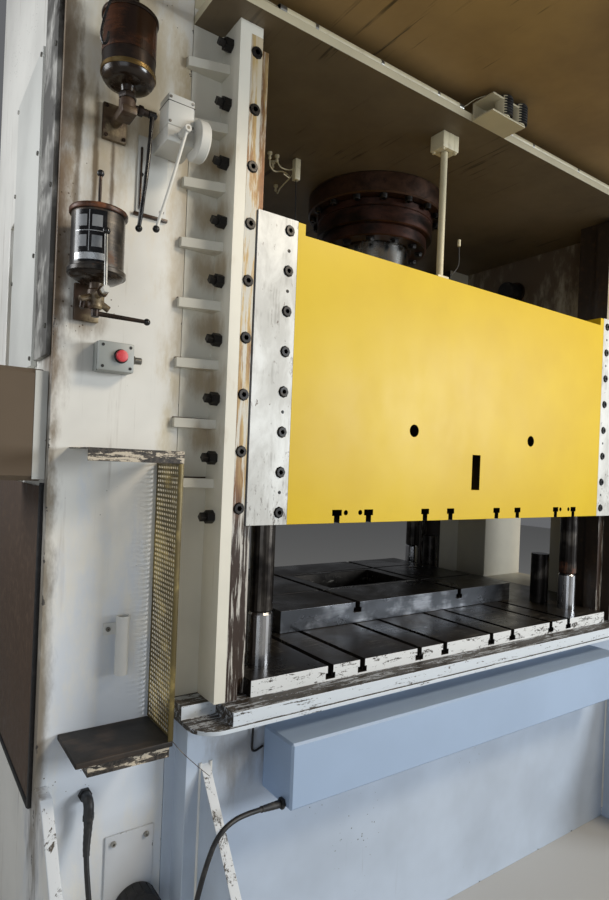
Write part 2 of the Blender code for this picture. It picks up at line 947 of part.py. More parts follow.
def plunger(name, x, y, parts, mat):
    """A levelling plunger that stands out of the bolster and runs in its bore in the bed."""
    low, high = over_table(-plunger_buried), over_table(plunger_exposed)
    profile = [
        (0, high),
        (post_tip_radius, high),
        (post_radius, high - plunger_band),
        (post_radius, low),
        (0, low),
    ]
    return finish(turned(name, profile, post_sides, parts, centre=(x, y, 0)), mat)


def ram(parts, mat):
    """The chromed ram with the clamp flange that bolts it to the slide."""
    low = over_table(slide_bottom) + slide_height + gap
    flange = low + ram_clamp_height
    high = crown_base + crown_height - ram_top_room
    profile = [(0, high), (ram_radius, high), (ram_radius, flange)]
    profile += [(ram_clamp_radius, flange), (ram_clamp_radius, low), (0, low)]
    return finish(turned("ram", profile, round_sides, parts), mat)


def main_cylinder(parts, mat):
    """The cylinder barrel through the crown, with its flange underneath and its closed head above."""
    bore = ram_radius + bore_clearance
    low, high = crown_base - flange_thickness, machine_top + barrel_rise
    seat = crown_base - gap
    profile = [
        (0, high),
        (barrel_radius, high),
        (barrel_radius, seat),
        (flange_radius, seat),
        (flange_radius, low),
        (bore, low),
        (bore, high - barrel_cap),
        (0, high - barrel_cap),
    ]
    return finish(turned("main_cylinder", profile, round_sides, parts), mat)


def gland_ring(parts, cutters, mat):
    """The stepped gland ring under the flange, with a circle of bolts round its nose."""
    bore = ram_radius + bore_clearance
    high = crown_base - flange_thickness - gap
    step = high - gland_height
    low = step - gland_nose_height
    profile = [(gland_radius, high), (gland_radius, step), (gland_nose_radius, step)]
    profile += [(gland_nose_radius, low), (bore, low), (bore, high)]
    ob = turned("gland_ring", profile, round_sides, parts)
    circle = (gland_nose_radius + bore) / 2
    ends = []
    for i in range(gland_bolts):
        t = 2 * math.pi * (i + 0.5) / gland_bolts
        x, y = circle * math.cos(t), circle * math.sin(t)
        ends.append(((x, y, low - gland_bolt_height), (x, y, low + overrun)))
    weld(ob, rods("gland_bolts", ends, gland_bolt_radius, screw_sides, cutters))
    return finish(ob, mat)


def position_rod(parts, cutters, mat):
    """The white rod that shows the slide's height, with its foot on the slide's top edge."""
    y = front_to_back(-1, rod_setback)
    low = over_table(slide_bottom) + slide_height + gap
    ends = ((rod_place, y, low + gap), (rod_place, y, crown_base + rod_rise))
    ob = rods("position_rod", [ends], rod_radius, pipe_sides, parts)
    size = Vector(rod_foot_size) / 2
    foot = ((rod_place - size.x, y - size.y, low), (rod_place + size.x, y + size.y, low + rod_foot_size[2]))
    weld(ob, boxes("rod_foot", [foot], cutters))
    return finish(ob, mat)


def rod_block(parts, cutters, mat):
    """The guide block under the crown that the position rod runs through."""
    y = front_to_back(-1, rod_setback)
    size = Vector(rod_block_size)
    high = crown_base - gap
    low_corner = (rod_place - size.x / 2, y - size.y / 2, high - size.z)
    high_corner = (rod_place + size.x / 2, y + size.y / 2, high)
    ob = boxes("rod_guide_block", [(low_corner, high_corner)], parts)
    hole = ((rod_place, y, high - size.z - overrun), (rod_place, y, high + overrun))
    cut(ob, rods("rod_block_bore", [hole], rod_radius + bore_clearance, pipe_sides, cutters))
    return finish(ob, mat)


# Fittings on the crown and the bed


def crown_tube(name, span, parts, mat):
    """A cream tube along the crown's front edge."""
    y = front_to_back(-1, tube_setback)
    z = crown_base + crown_lip_thickness + gap + tube_radius
    return finish(rods(name, [((span[0], y, z), (span[1], y, z))], tube_radius, rod_sides, parts), mat)


def switch_bracket(parts, cutters, mat):
    """A channel on the crown's edge that holds two black sensors."""
    left, right = switch_bracket_span
    back = front_to_back(-1, -crown_lip_reach) - gap
    front = back - switch_bracket_depth
    low, high = crown_base, crown_base + switch_bracket_height
    wall = switch_bracket_wall
    section = [
        (back, high),
        (front, high),
        (front, high - wall),
        (back - wall, high - wall),
        (back - wall, low + wall),
        (front, low + wall),
        (front, low),
        (back, low),
    ]
    ob = outline_solid("switch_bracket", [section], "X", left, right, parts)
    y = front + sensor_inset / 2
    posts = [
        ((x, y, low + wall / 2), (x, y, low + sensor_height + wall))
        for x in (right - sensor_inset / 2 - sensor_radius * 3, right - sensor_inset / 2)
    ]
    weld(ob, rods("switch_sensors", posts, sensor_radius, pipe_sides, cutters))
    return finish(ob, mat)


def front_box(parts, mat):
    """The long cover box on the bed's front."""
    low, high = over_table(-box_low), over_table(-box_high)
    back, front = -half_depth + bed_front_setback - gap, -half_depth - box_reach
    ob = boxes("front_box", [((-box_half, front, low), (box_half, back, high))], parts)
    return finish(soften(ob, box_round), mat)


# Fittings on the left upright


def on_face(x, stand, height):
    """A point that stands off the left upright's front face."""
    return (x, -column_face - stand, over_table(height))


def estop_box(parts, cutters, mat):
    """The emergency stop's box, with its cable entry at the right."""
    w, d, h = estop_size
    low = on_face(estop_place - w / 2, gap, estop_height - h / 2)
    high = on_face(estop_place + w / 2, d, estop_height + h / 2)
    ob = boxes("estop_box", [(low, high)], parts)
    start = on_face(estop_place + w / 2 - overrun, d / 2, estop_height)
    end = on_face(estop_place + w / 2 + entry_length, d / 2, estop_height)
    weld(ob, rods("estop_entry", [(start, end)], entry_radius, rod_sides, cutters))
    x, z = estop_place + button_offset[0], estop_height + button_offset[1]
    well = (on_face(x, d - button_length, z), on_face(x, d + overrun, z))
    cut(ob, rods("estop_well", [well], button_stem_radius + bore_clearance, pipe_sides, cutters))
    return finish(ob, mat)


def estop_button(parts, mat):
    """The mushroom button: its stem runs in the box, and it presses in by its travel."""
    x, z = estop_place + button_offset[0], estop_height + button_offset[1]
    face = estop_size[1]
    head_low = face + button_travel + gap
    head_high = head_low + button_length / 2
    stem_low = face - button_length / 2
    profile = [
        (0, head_high),
        (button_radius - button_travel / 2, head_high),
        (button_radius, head_high - button_travel / 2),
        (button_radius, head_low),
        (button_stem_radius, head_low),
        (button_stem_radius, stem_low),
        (0, stem_low),
    ]
    forward = Matrix.Rotation(math.pi / 2, 4, "X")
    return finish(turned("estop_button", profile, pipe_sides, parts, on_face(x, 0, z), forward), mat)


def guard(parts, mat):
    """The side sheet of the tool rack, with its front edge folded in."""
    front, back = -column_face - rack_reach, -column_face - gap
    low, high = over_table(rack_low) + gap, over_table(rack_high) - rack_bar - gap
    plan = [
        (-rack_inner + rack_sheet, back),
        (-rack_inner, back),
        (-rack_inner, front + rack_sheet),
        (-rack_inner - rack_hem, front + rack_sheet),
        (-rack_inner - rack_hem, front),
        (-rack_inner + rack_sheet, front),
    ]
    return finish(outline_solid("rack_guard", [plan], "Z", low, high, parts), mat)


def rack_top(parts, mat):
    """The rack's top bar: a folded channel across the front and along the top."""
    front, back = -column_face - rack_reach, -column_face - gap
    high = over_table(rack_high)
    low = high - rack_bar
    inside = front + rack_sheet
    section = [(back, high), (front, high), (front, low)]
    section += [(inside, low), (inside, high - rack_sheet), (back, high - rack_sheet)]
    ob = outline_solid("rack_top", [section], "X", -rack_outer, -rack_inner + rack_sheet, parts)
    return finish(ob, mat)


def rack_shelf(parts, mat):
    """The board that lies at the bottom of the rack."""
    front, back = -column_face - rack_reach, -column_face - gap
    low = over_table(rack_low) - rack_board
    corners = ((-rack_outer, front, low), (-rack_inner + rack_sheet, back, over_table(rack_low)))
    ob = boxes("rack_shelf", [corners], parts)
    return finish(ob, mat)


def rack_bracket(parts, mat):
    """The angle that carries the board, with its two legs back to the upright."""
    front, back = -column_face - rack_reach + rack_board, -column_face - gap
    high = over_table(rack_low) - rack_board - gap
    low = high - rack_bar
    left, right = -rack_outer + rack_bar, -rack_inner
    plan = [
        (left, back),
        (left, front),
        (right, front),
        (right, back),
        (right - rack_sheet * 2, back),
        (right - rack_sheet * 2, front + rack_sheet * 2),
        (left + rack_sheet * 2, front + rack_sheet * 2),
        (left + rack_sheet * 2, back),
    ]
    return finish(outline_solid("rack_bracket", [plan], "Z", low, high, parts), mat)


def tube_holder(parts, cutters, mat):
    """The open tube that stands off the upright, with its screwed clip."""
    r, inner = tube_holder_radius, tube_holder_radius - tube_holder_wall
    low, high = over_table(tube_holder_low), over_table(tube_holder_high)
    y = -column_face - tube_holder_stand - r
    profile = [(r, high), (r, low), (inner, low), (inner, high)]
    ob = turned("tube_holder", profile, pipe_sides, parts, centre=(tube_holder_place, y, 0))
    w, t, h = clip_size
    z = over_table(clip_height)
    left = tube_holder_place - w
    middle = tube_holder_place - r / 2
    strap = ((left, -column_face - gap - t, z - h / 2), (middle, -column_face - gap, z + h / 2))
    arm = ((middle - t, y, z - h / 2), (middle, -column_face - gap - t / 2, z + h / 2))
    weld(ob, boxes("tube_clip_strap", [strap], cutters))
    weld(ob, boxes("tube_clip_arm", [arm], cutters))
    return finish(ob, mat)


def access_cover(parts, cutters, mat):
    """The screwed cover low on the left upright, with the round black cap on it."""
    low, high = on_face(cover_left, gap, cover_low), on_face(cover_right, cover_thickness, cover_high)
    ob = boxes("access_cover", [(low, high)], parts)
    inset = cover_screw_inset
    screws = [
        (on_face(x, cover_thickness / 2, z), on_face(x, cover_thickness * 2, z))
        for x in (cover_left + inset, cover_right - inset)
        for z in (cover_low + inset, cover_high - inset)
    ]
    weld(ob, rods("cover_screws", screws, cover_screw_radius, screw_sides, cutters))
    cap = (on_face(cap_place, cover_thickness / 2, cap_height), on_face(cap_place, cap_length, cap_height))
    weld(ob, rods("cover_cap", [cap], cap_radius, barrel_sides, cutters))
    return finish(ob, mat)


def side_box(parts, mat):
    """The cover box on the left upright's outer side."""
    x_low, x_high = -upright_outer - side_box_depth, -upright_outer - gap
    y_low = front_to_back(-1, side_box_setback)
    low_corner = (x_low, y_low, over_table(side_box_low))
    high_corner = (x_high, y_low + side_box_length, over_table(side_box_high))
    ob = boxes("side_cover_box", [(low_corner, high_corner)], parts)
    return finish(soften(ob, side_box_round), mat)


def oiler_cup(name, centre, height, radius, band_share, bore, parts, mat):
    """An oil reservoir: a cup with a rolled lid rim, a band round it and a rounded bowl below.

    A bore is the radius and depth of a hole in the lid, or None.
    """
    band = height * band_share
    rim = radius + oiler_rim
    bowl = []
    for i in range(bowl_steps):
        t = math.pi / 2 * i / bowl_steps
        bowl.append((radius * math.cos(t), (band - oiler_band) * (1 - math.sin(t))))
    lid = [(0, height - bore[1]), (bore[0], height - bore[1]), (bore[0], height)] if bore else [(0, height)]
    profile = [
        *lid,
        (radius, height),
        (rim, height - oiler_rim),
        (rim, height - oiler_rim * 2),
        (radius, height - oiler_rim * 3),
        (radius, band),
        (rim, band),
        (rim, band - oiler_band),
        *bowl,
        (bowl[-1][0], 0),
        (0, 0),
    ]
    return finish(turned(name, profile, oiler_sides, parts, centre), mat)


def oiler_pump(name, centre, stand, way, reach, parts, cutters, mat):
    """The pump body under an oiler: a stub, an arm back to its foot, and the lever's boss."""
    top = centre - Vector((0, 0, gap))
    bottom = top - Vector((0, 0, pump_drop))
    middle = (top + bottom) / 2
    w, t, h = pump_foot
    half = pump_radius / 2
    ob = rods(name, [(bottom, top)], pump_radius, pipe_sides, parts)
    back = middle + Vector((0, stand - t, 0))
    arm = (middle - Vector((half, 0, half)), back + Vector((half, 0, half)))
    foot_middle = middle + Vector((0, stand - gap - t / 2, 0))
    foot = (foot_middle - Vector((w, t, h)) / 2, foot_middle + Vector((w, t, h)) / 2)
    weld(ob, boxes(name + "_arm", [arm], cutters))
    weld(ob, boxes(name + "_foot", [foot], cutters))
    weld(ob, rods(name + "_boss", [(middle, middle + way * reach)], wrist_radius, rod_sides, cutters))
    return finish(ob, mat)


def pump_pivot(centre, way, reach):
    """The point on a pump's boss where its lever turns."""
    return centre - Vector((0, 0, gap + pump_drop / 2)) + way * (reach + gap)


def bent_rod(name, points, radius, group):
    """A round rod bent along a few points, as a closed mesh."""
    curve = bpy.data.curves.new(name, "CURVE")
    curve.dimensions = "3D"
    curve.bevel_depth = radius
    curve.bevel_resolution = rod_round_steps
    curve.use_fill_caps = True
    spline = curve.splines.new("POLY")
    spline.points.add(len(points) - 1)
    for point, place in zip(spline.points, points):
        point.co = (*place, 1)
    drawn = new_object(name + "_line", curve, group)
    bm = bmesh.new()
    bm.from_mesh(mesh_of(drawn))
    bpy.data.objects.remove(drawn)
    bmesh.ops.remove_doubles(bm, verts=bm.verts, dist=merge_distance)
    return from_bmesh(name, bm, group)


def add_knob(ob, place, radius, cutters):
    bm = bmesh.new()
    place = Matrix.Translation(place)
    bmesh.ops.create_uvsphere(
        bm, u_segments=rod_sides, v_segments=ball_rings, radius=radius, matrix=place
    )
    return weld(ob, from_bmesh(ob.name + "_knob", bm, cutters))


def hand_lever(name, pivot, way, hub_length, rise, lean, bow, radius, parts, cutters, mat):
    """A hand lever on its pivot: a hub, a slightly bowed arm at the hub's end, and a ball."""
    hub_end = pivot + way * hub_length
    hub = rods(name, [(pivot, hub_end)], wrist_radius, rod_sides, parts)
    root = hub_end - way * wrist_radius
    steps = lever_steps
    points = []
    for i in range(steps + 1):
        t = i / steps
        points.append(root + Vector((lean * t, -bow * math.sin(math.pi * t), rise * t)))
    weld(hub, bent_rod(name + "_arm", points, radius, cutters))
    add_knob(hub, points[-1], knob_radius, cutters)
    return finish(hub, mat)


def pull_rod(centre, parts, cutters, mat):
    """The priming rod of oiler B: it stands in the lid and pulls up by its travel."""
    low = centre - Vector((0, 0, pull_buried))
    high = centre + Vector((0, 0, pull_height))
    ob = rods("oiler_b_pull", [(low, high)], pull_radius, pin_sides, parts)
    add_knob(ob, high, knob_radius, cutters)
    return finish(ob, mat)


def cock_handle(bottom, parts, cutters, mat):
    """The shut-off handle under oiler B, with its ball end."""
    start = bottom - Vector((0, 0, gap))
    hub_low = start - Vector((0, 0, wrist_radius * 2))
    ob = rods("oiler_b_cock", [(hub_low, start)], wrist_radius, rod_sides, parts)
    middle = (start + hub_low) / 2
    end = middle + Vector((handle_length, 0, 0))
    weld(ob, rods("oiler_b_cock_arm", [(middle, end)], handle_radius, rod_sides, cutters))
    add_knob(ob, end, knob_radius, cutters)
    return finish(ob, mat)


def switch_unit(parts, cutters, mat):
    """The limit switch beside oiler A: a plate, a block, the switch box and a round cover."""
    w, t, h = switch_plate
    sw, sd, sh = switch_size
    bw, bh = switch_block
    low = switch_height - sh / 2
    plate_high = low
    x = switch_plate_place
    plate = (on_face(x - w / 2, gap, plate_high - h), on_face(x + w / 2, t, plate_high))
    ob = boxes("limit_switch", [plate], parts)
    block_left = switch_place - sw / 2
    lap = bh / switch_block_lap
    block = (on_face(block_left, t / 2, low - bh), on_face(block_left + bw, switch_stand + sd, low + lap))
    body = (
        on_face(switch_place - sw / 2 - gap, switch_stand, low),
        on_face(switch_place + sw / 2, switch_stand + sd + gap, low + sh),
    )
    weld(ob, boxes("limit_switch_block", [block], cutters))
    weld(ob, boxes("limit_switch_body", [body], cutters))
    centre = switch_wand_pivot() + Vector((block_left + bw - switch_place - overrun, 0, 0))
    far = centre + Vector((switch_disc_length + overrun, 0, 0))
    weld(ob, rods("limit_switch_disc", [(centre, far)], switch_disc_radius, barrel_sides, cutters))
    return finish(ob, mat)


def switch_wand_pivot():
    """Where the switch's wand hangs: under the block, at its front."""
    height = switch_height - switch_size[2] / 2 - switch_block[1] / 2
    return Vector(on_face(switch_place, switch_stand + switch_size[1], height))


def switch_wand(parts, cutters, mat):
    """The thin wand that trips the limit switch."""
    pivot = switch_wand_pivot() - Vector((0, gap, 0))
    return hand_lever(
        "switch_wand",
        pivot,
        Vector((0, -1, 0)),
        wand_hub,
        -wand_length,
        wand_lean,
        0,
        wand_radius,
        parts,
        cutters,
        mat,
    )


# Free cable


def cable_elbow(parts, cutters, mat):
    """The elbow gland on the left upright where the cable goes in."""
    top = Vector(on_face(elbow_place, elbow_reach, elbow_height))
    root = Vector(on_face(elbow_place, gap, elbow_height))
    end = top + (top - root).normalized() * elbow_radius
    ob = rods("cable_elbow", [(root, end)], elbow_radius, pipe_sides, parts)
    drop = (top, top - Vector((0, 0, elbow_drop)))
    weld(ob, rods("cable_elbow_drop", [drop], elbow_radius, pipe_sides, cutters))
    return finish(ob, mat)


def smooth_route(points, count):
    """Evenly spaced points on a Catmull-Rom curve through the route."""
    ends = [Vector(p) for p in points]
    ends = [ends[0] * 2 - ends[1]] + ends + [ends[-1] * 2 - ends[-2]]
    fine = []
    for a, b, c, d in zip(ends, ends[1:], ends[2:], ends[3:]):
        for i in range(route_steps):
            t = i / route_steps
            bend, twist = 2 * a - 5 * b + 4 * c - d, 3 * b - a - 3 * c + d
            fine.append((2 * b + (c - a) * t + bend * t**2 + twist * t**3) / 2)
    fine.append(Vector(points[-1]))
    runs = [0]
    for p, q in zip(fine, fine[1:]):
        runs.append(runs[-1] + (q - p).length)
    out, k = [], 0
    for i in range(count):
        target = runs[-1] * i / (count - 1)
        while k < len(runs) - 2 and runs[k + 1] < target:
            k += 1
        share = (target - runs[k]) / max(runs[k + 1] - runs[k], merge_distance)
        out.append(fine[k].lerp(fine[k + 1], share))
    return out


def cable(parts, mat):
    """The black cable that hangs from the cover box round to the elbow."""
    curve = bpy.data.curves.new("cable", "CURVE")
    curve.dimensions = "3D"
    curve.resolution_u = 1
    curve.bevel_depth = cable_radius
    curve.bevel_resolution = rod_round_steps
    curve.use_fill_caps = True
    spline = curve.splines.new("POLY")
    route = smooth_route(cable_route, cable_points)
    spline.points.add(len(route) - 1)
    for point, place in zip(spline.points, route):
        point.co = (*place, 1)
    curve.materials.append(mat)
    return new_object("cable", curve, parts)


# Assembly


def axis_empty(name, place, group, pieces):
    """An empty on a joint's axis that carries the moving pieces."""
    empty = bpy.data.objects.new(name, None)
    empty.location = place
    group.objects.link(empty)
    bpy.context.view_layer.update()
    for ob in pieces:
        ob.parent = empty
        ob.matrix_parent_inverse = empty.matrix_world.inverted()
    return empty


def paints():
    """Each finish of the press, by a plain name."""
    return {
        "white": material("frame_white", (0.78, 0.78, 0.74), 0.45),
        "grimy": material("ledge_grime", (0.35, 0.34, 0.33), 0.6),
        "yellow": material("slide_yellow", (0.85, 0.68, 0.06), 0.35),
        "rail": material("rail_steel", (0.36, 0.24, 0.14), 0.5, 0.7),
        "strip": material("strip_silver", (0.75, 0.75, 0.73), 0.35, 0.6),
        "table": material("table_steel", (0.05, 0.045, 0.04), 0.35, 0.8),
        "chrome": material("chrome", (0.8, 0.8, 0.82), 0.12, 1.0),
        "post": material("post_steel", (0.06, 0.055, 0.05), 0.4, 0.8),
        "bronze": material("flange_bronze", (0.14, 0.07, 0.045), 0.4, 0.7),
        "blue": material("box_grey", (0.55, 0.62, 0.70), 0.4),
        "cream": material("cream_paint", (0.75, 0.70, 0.56), 0.4),
        "guard": material("guard_gold", (0.62, 0.50, 0.18), 0.4, 0.6),
        "board": material("shelf_board", (0.10, 0.07, 0.05), 0.7),
        "black": material("black_rubber", (0.02, 0.02, 0.02), 0.5),
        "brass": material("oiler_brown", (0.22, 0.12, 0.07), 0.4, 0.5),
        "red": material("button_red", (0.75, 0.10, 0.12), 0.4),
        "grey": material("box_light_grey", (0.60, 0.61, 0.60), 0.45),
    }


LEFT_CORNERS = [("left", "front", -1, -1), ("left", "rear", -1, 1)]
RIGHT_CORNERS = [("right", "front", 1, -1), ("right", "rear", 1, 1)]


def build():
    clear_scene()
    parts, cutters = collection("hydraulic_press"), collection("cutters")
    p = paints()
    bed(parts, cutters, p["white"])
    ledge(parts, cutters, p["grimy"])
    upright("left_upright", -1, parts, cutters, p["white"])
    upright("right_upright", 1, parts, cutters, p["white"])
    crown(parts, cutters, p["cream"])
    tank(parts, cutters, p["cream"])
    bolster(parts, cutters, p["table"])
    die_plate(parts, cutters, p["table"])
    main_cylinder(parts, p["bronze"])
    gland_ring(parts, cutters, p["bronze"])
    rod_block(parts, cutters, p["cream"])
    crown_tube("left_light_tube", tube_left, parts, p["cream"])
    crown_tube("right_light_tube", tube_right, parts, p["cream"])
    switch_bracket(parts, cutters, p["cream"])
    front_box(parts, p["blue"])
    moving = [slide(parts, cutters, p["yellow"]), ram(parts, p["chrome"])]
    moving.append(position_rod(parts, cutters, p["cream"]))
    for left, front, side, end in LEFT_CORNERS + RIGHT_CORNERS:
        where = f"{front}_{left}"
        carrier(where + "_carrier", side, end, parts, cutters, p["white"])
        rail(where + "_rail", side, end, parts, cutters, p["rail"])
        moving.append(wear_strip(where + "_wear_strip", side, end, parts, cutters, p["strip"]))
        x, y = side * post_place, front_to_back(end, post_setback)
        moving.append(thrust_post(where + "_thrust_post", x, y, parts, p["post"]))
        piston = plunger(where + "_plunger", x, y, parts, p["chrome"])
        axis_empty(where + "_plunger_axis", (x, y, table_height), parts, [piston])
    axis_empty("slide_axis", (0, 0, over_table(slide_bottom)), parts, moving)
    left_fittings(parts, cutters, p)


def left_fittings(parts, cutters, p):
    estop_box(parts, cutters, p["grey"])
    button = estop_button(parts, p["red"])
    x, z = estop_place + button_offset[0], estop_height + button_offset[1]
    axis_empty("estop_axis", on_face(x, estop_size[1], z), parts, [button])
    guard(parts, p["guard"])
    rack_top(parts, p["white"])
    rack_shelf(parts, p["board"])
    rack_bracket(parts, p["white"])
    tube_holder(parts, cutters, p["white"])
    access_cover(parts, cutters, p["white"])
    side_box(parts, p["white"])
    switch_unit(parts, cutters, p["grey"])
    cable_elbow(parts, cutters, p["black"])
    cable(parts, p["black"])
    wand = switch_wand(parts, cutters, p["chrome"])
    axis_empty("switch_wand_axis", switch_wand_pivot(), parts, [wand])
    oilers(parts, cutters, p)


def oilers(parts, cutters, p):
    right, front = Vector((1, 0, 0)), Vector((0, -1, 0))
    a = Vector(on_face(oiler_a_place, oiler_a_stand, oiler_a_low))
    b = Vector(on_face(oiler_b_place, oiler_b_stand, oiler_b_low))
    bore = (pull_radius + guide_clearance, pull_buried + gap)
    size_a = (oiler_a_height, oiler_a_radius, oiler_a_band_share)
    size_b = (oiler_b_height, oiler_b_radius, oiler_b_band_share)
    oiler_cup("oiler_a_cup", a, *size_a, None, parts, p["brass"])
    oiler_cup("oiler_b_cup", b, *size_b, bore, parts, p["brass"])
    oiler_pump("oiler_a_pump", a, oiler_a_stand, right, pump_boss_a, parts, cutters, p["brass"])
    oiler_pump("oiler_b_pump", b, oiler_b_stand, front, pump_boss_b, parts, cutters, p["brass"])
    pivot_a, pivot_b = pump_pivot(a, right, pump_boss_a), pump_pivot(b, front, pump_boss_b)
    lever_a = hand_lever(
        "oiler_a_lever",
        pivot_a,
        right,
        lever_hub,
        -lever_a_length,
        lever_a_lean,
        lever_bow,
        lever_radius,
        parts,
        cutters,
        p["black"],
    )
    lever_b = hand_lever(
        "oiler_b_lever",
        pivot_b,
        front,
        lever_hub,
        lever_b_length,
        lever_b_lean,
        0,
        wand_radius,
        parts,
        cutters,
        p["chrome"],
    )
    axis_empty("oiler_a_lever_axis", pivot_a, parts, [lever_a])
    axis_empty("oiler_b_lever_axis", pivot_b, parts, [lever_b])
    lid = b + Vector((0, 0, oiler_b_height))
    axis_empty("oiler_b_pull_axis", lid, parts, [pull_rod(lid, parts, cutters, p["black"])])
    bottom = b - Vector((0, 0, gap + pump_drop))
    axis_empty("oiler_b_cock_axis", bottom, parts, [cock_handle(bottom, parts, cutters, p["chrome"])])


build()
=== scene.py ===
"""Hydraulic press: its paint, wear, screws, fittings, cable and light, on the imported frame."""

import math

import bmesh
import bpy
from mathutils import Matrix, Vector


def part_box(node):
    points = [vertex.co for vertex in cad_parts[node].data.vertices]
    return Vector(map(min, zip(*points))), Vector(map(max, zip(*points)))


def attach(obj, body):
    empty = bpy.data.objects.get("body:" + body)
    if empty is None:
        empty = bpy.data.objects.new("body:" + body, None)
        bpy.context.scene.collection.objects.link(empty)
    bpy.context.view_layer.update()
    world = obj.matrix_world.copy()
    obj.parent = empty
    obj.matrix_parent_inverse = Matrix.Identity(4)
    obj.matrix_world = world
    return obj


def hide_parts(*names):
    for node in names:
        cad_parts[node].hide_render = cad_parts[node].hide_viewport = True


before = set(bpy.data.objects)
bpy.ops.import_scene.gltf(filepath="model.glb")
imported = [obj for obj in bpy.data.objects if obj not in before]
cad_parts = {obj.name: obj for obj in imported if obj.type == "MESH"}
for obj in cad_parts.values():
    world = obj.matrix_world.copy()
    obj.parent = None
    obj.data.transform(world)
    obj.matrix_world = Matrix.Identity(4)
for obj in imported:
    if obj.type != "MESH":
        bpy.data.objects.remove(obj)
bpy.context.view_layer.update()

# Places that the fittings share, in metres
table = 0.950
gap = 0.0003
upright_front = -0.512
wall = upright_front - gap
pump_plate = wall - 0.0122
crown_base = 2.725
under_crown = crown_base - gap
switch_level = table + 1.467
screw_pitch = 0.1534
rib_offset = screw_pitch / 2
screw_rows = [table + 0.475 + screw_pitch * i for i in range(9)]
strip_rows = [table + 0.4625 + 0.1132 * i for i in range(8)]
rail_face = 0.611
bolt_line = 0.565

# The four guides by name, and which side and end they stand on
corners = ("front_left", "rear_left", "front_right", "rear_right")
four_ways = [(side, end) for side in (-1, 1) for end in (-1, 1)]

scene = bpy.context.scene


# Nodes


def srgb(red, green, blue):
    """A colour as picked from a photo, 0 to 255, as a node wants it."""
    parts = [c / 255 for c in (red, green, blue)]
    return (*[c / 12.92 if c < 0.04045 else ((c + 0.055) / 1.055) ** 2.4 for c in parts], 1)


def shaded(colour, share):
    """The colour made darker or brighter by a share of itself."""
    return (*[min(1, c * share) for c in colour[:3]], 1)


class Wiring:
    """Adds nodes to one tree and joins them up."""

    def __init__(self, tree, prefix="ShaderNode"):
        self.tree = tree
        self.prefix = prefix

    def put(self, socket, value):
        if isinstance(value, bpy.types.NodeSocket):
            self.tree.links.new(value, socket)
        else:
            socket.default_value = value

    def node(self, kind, settings=(), **inputs):
        made = self.tree.nodes.new(kind if "Node" in kind else self.prefix + kind)
        for key, value in dict(settings).items():
            setattr(made, key, value)
        for label, value in inputs.items():
            self.put(made.inputs[label.replace("_", " ")], value)
        return made

    def math(self, operation, first, second=0.0, clamp=False):
        made = self.node("ShaderNodeMath", {"operation": operation, "use_clamp": clamp})
        self.put(made.inputs[0], first)
        self.put(made.inputs[1], second)
        return made.outputs[0]

    def times(self, first, second, clamp=False):
        return self.math("MULTIPLY", first, second, clamp)

    def plus(self, first, second):
        return self.math("ADD", first, second)

    def minus(self, first, second):
        return self.math("SUBTRACT", first, second)

    def vector(self, operation, first, second=(0, 0, 0)):
        made = self.node("ShaderNodeVectorMath", {"operation": operation})
        self.put(made.inputs[0], first)
        self.put(made.inputs[1], second)
        return made.outputs["Value" if operation == "LENGTH" else "Vector"]

    def place(self, spread=None):
        """Where a point lies on the press, spread out or drawn together along each axis."""
        spot = self.node("TexCoord").outputs["Object"]
        return spot if spread is None else self.vector("MULTIPLY", spot, spread)

    def level(self):
        """How high a point lies on the press."""
        return self.node("SeparateXYZ", Vector=self.place()).outputs["Z"]

    def noise(self, place, scale, detail=3.0, roughness=0.55, distortion=0.0):
        made = self.node("ShaderNodeTexNoise", Vector=place, Scale=scale, Detail=detail,
                         Roughness=roughness, Distortion=distortion)
        return made.outputs["Fac"]

    def fit(self, value, low, high, start=0.0, stop=1.0):
        """The value's way from low to high, eased, as start to stop."""
        made = self.node("ShaderNodeMapRange", {"interpolation_type": "SMOOTHSTEP"})
        for socket, given in zip(made.inputs[:5], (value, low, high, start, stop)):
            self.put(socket, given)
        return made.outputs[0]

    def blend(self, mask, first, second):
        made = self.node("ShaderNodeMix", {"data_type": "RGBA"})
        for index, given in ((0, mask), (6, first), (7, second)):
            self.put(made.inputs[index], given)
        return made.outputs[2]

    def use(self, group, **inputs):
        """A shared effect with this material's own values."""
        return self.node("ShaderNodeGroup", {"node_tree": group}, **inputs).outputs


def effect(name, inputs, outputs):
    """An empty shared effect: (wiring, inputs, outputs)."""
    tree = bpy.data.node_groups.new(name, "ShaderNodeTree")
    for label, kind, value in inputs:
        tree.interface.new_socket(label, in_out="INPUT",
                                  socket_type="NodeSocket" + kind).default_value = value
    for label, kind in outputs:
        tree.interface.new_socket(label, in_out="OUTPUT", socket_type="NodeSocket" + kind)
    return Wiring(tree), tree.nodes.new("NodeGroupInput").outputs, tree.nodes.new("NodeGroupOutput").inputs


def block_edge_effect():
    """How far a point on a block lies from the block's nearest edge."""
    w, given, out = effect(
        "distance from a block's edge",
        [("Low", "Vector", (-1, -1, -1)), ("High", "Vector", (1, 1, 1))],
        [("Distance", "Float")],
    )
    spot = w.place()
    from_low = w.vector("ABSOLUTE", w.vector("SUBTRACT", spot, given["Low"]))
    from_high = w.vector("ABSOLUTE", w.vector("SUBTRACT", spot, given["High"]))
    x, y, z = w.node("SeparateXYZ", Vector=w.vector("MINIMUM", from_low, from_high)).outputs
    least, most = w.math("MINIMUM", x, y), w.math("MAXIMUM", x, y)
    w.put(out["Distance"], w.math("MAXIMUM", least, w.math("MINIMUM", most, z)))
    return w.tree


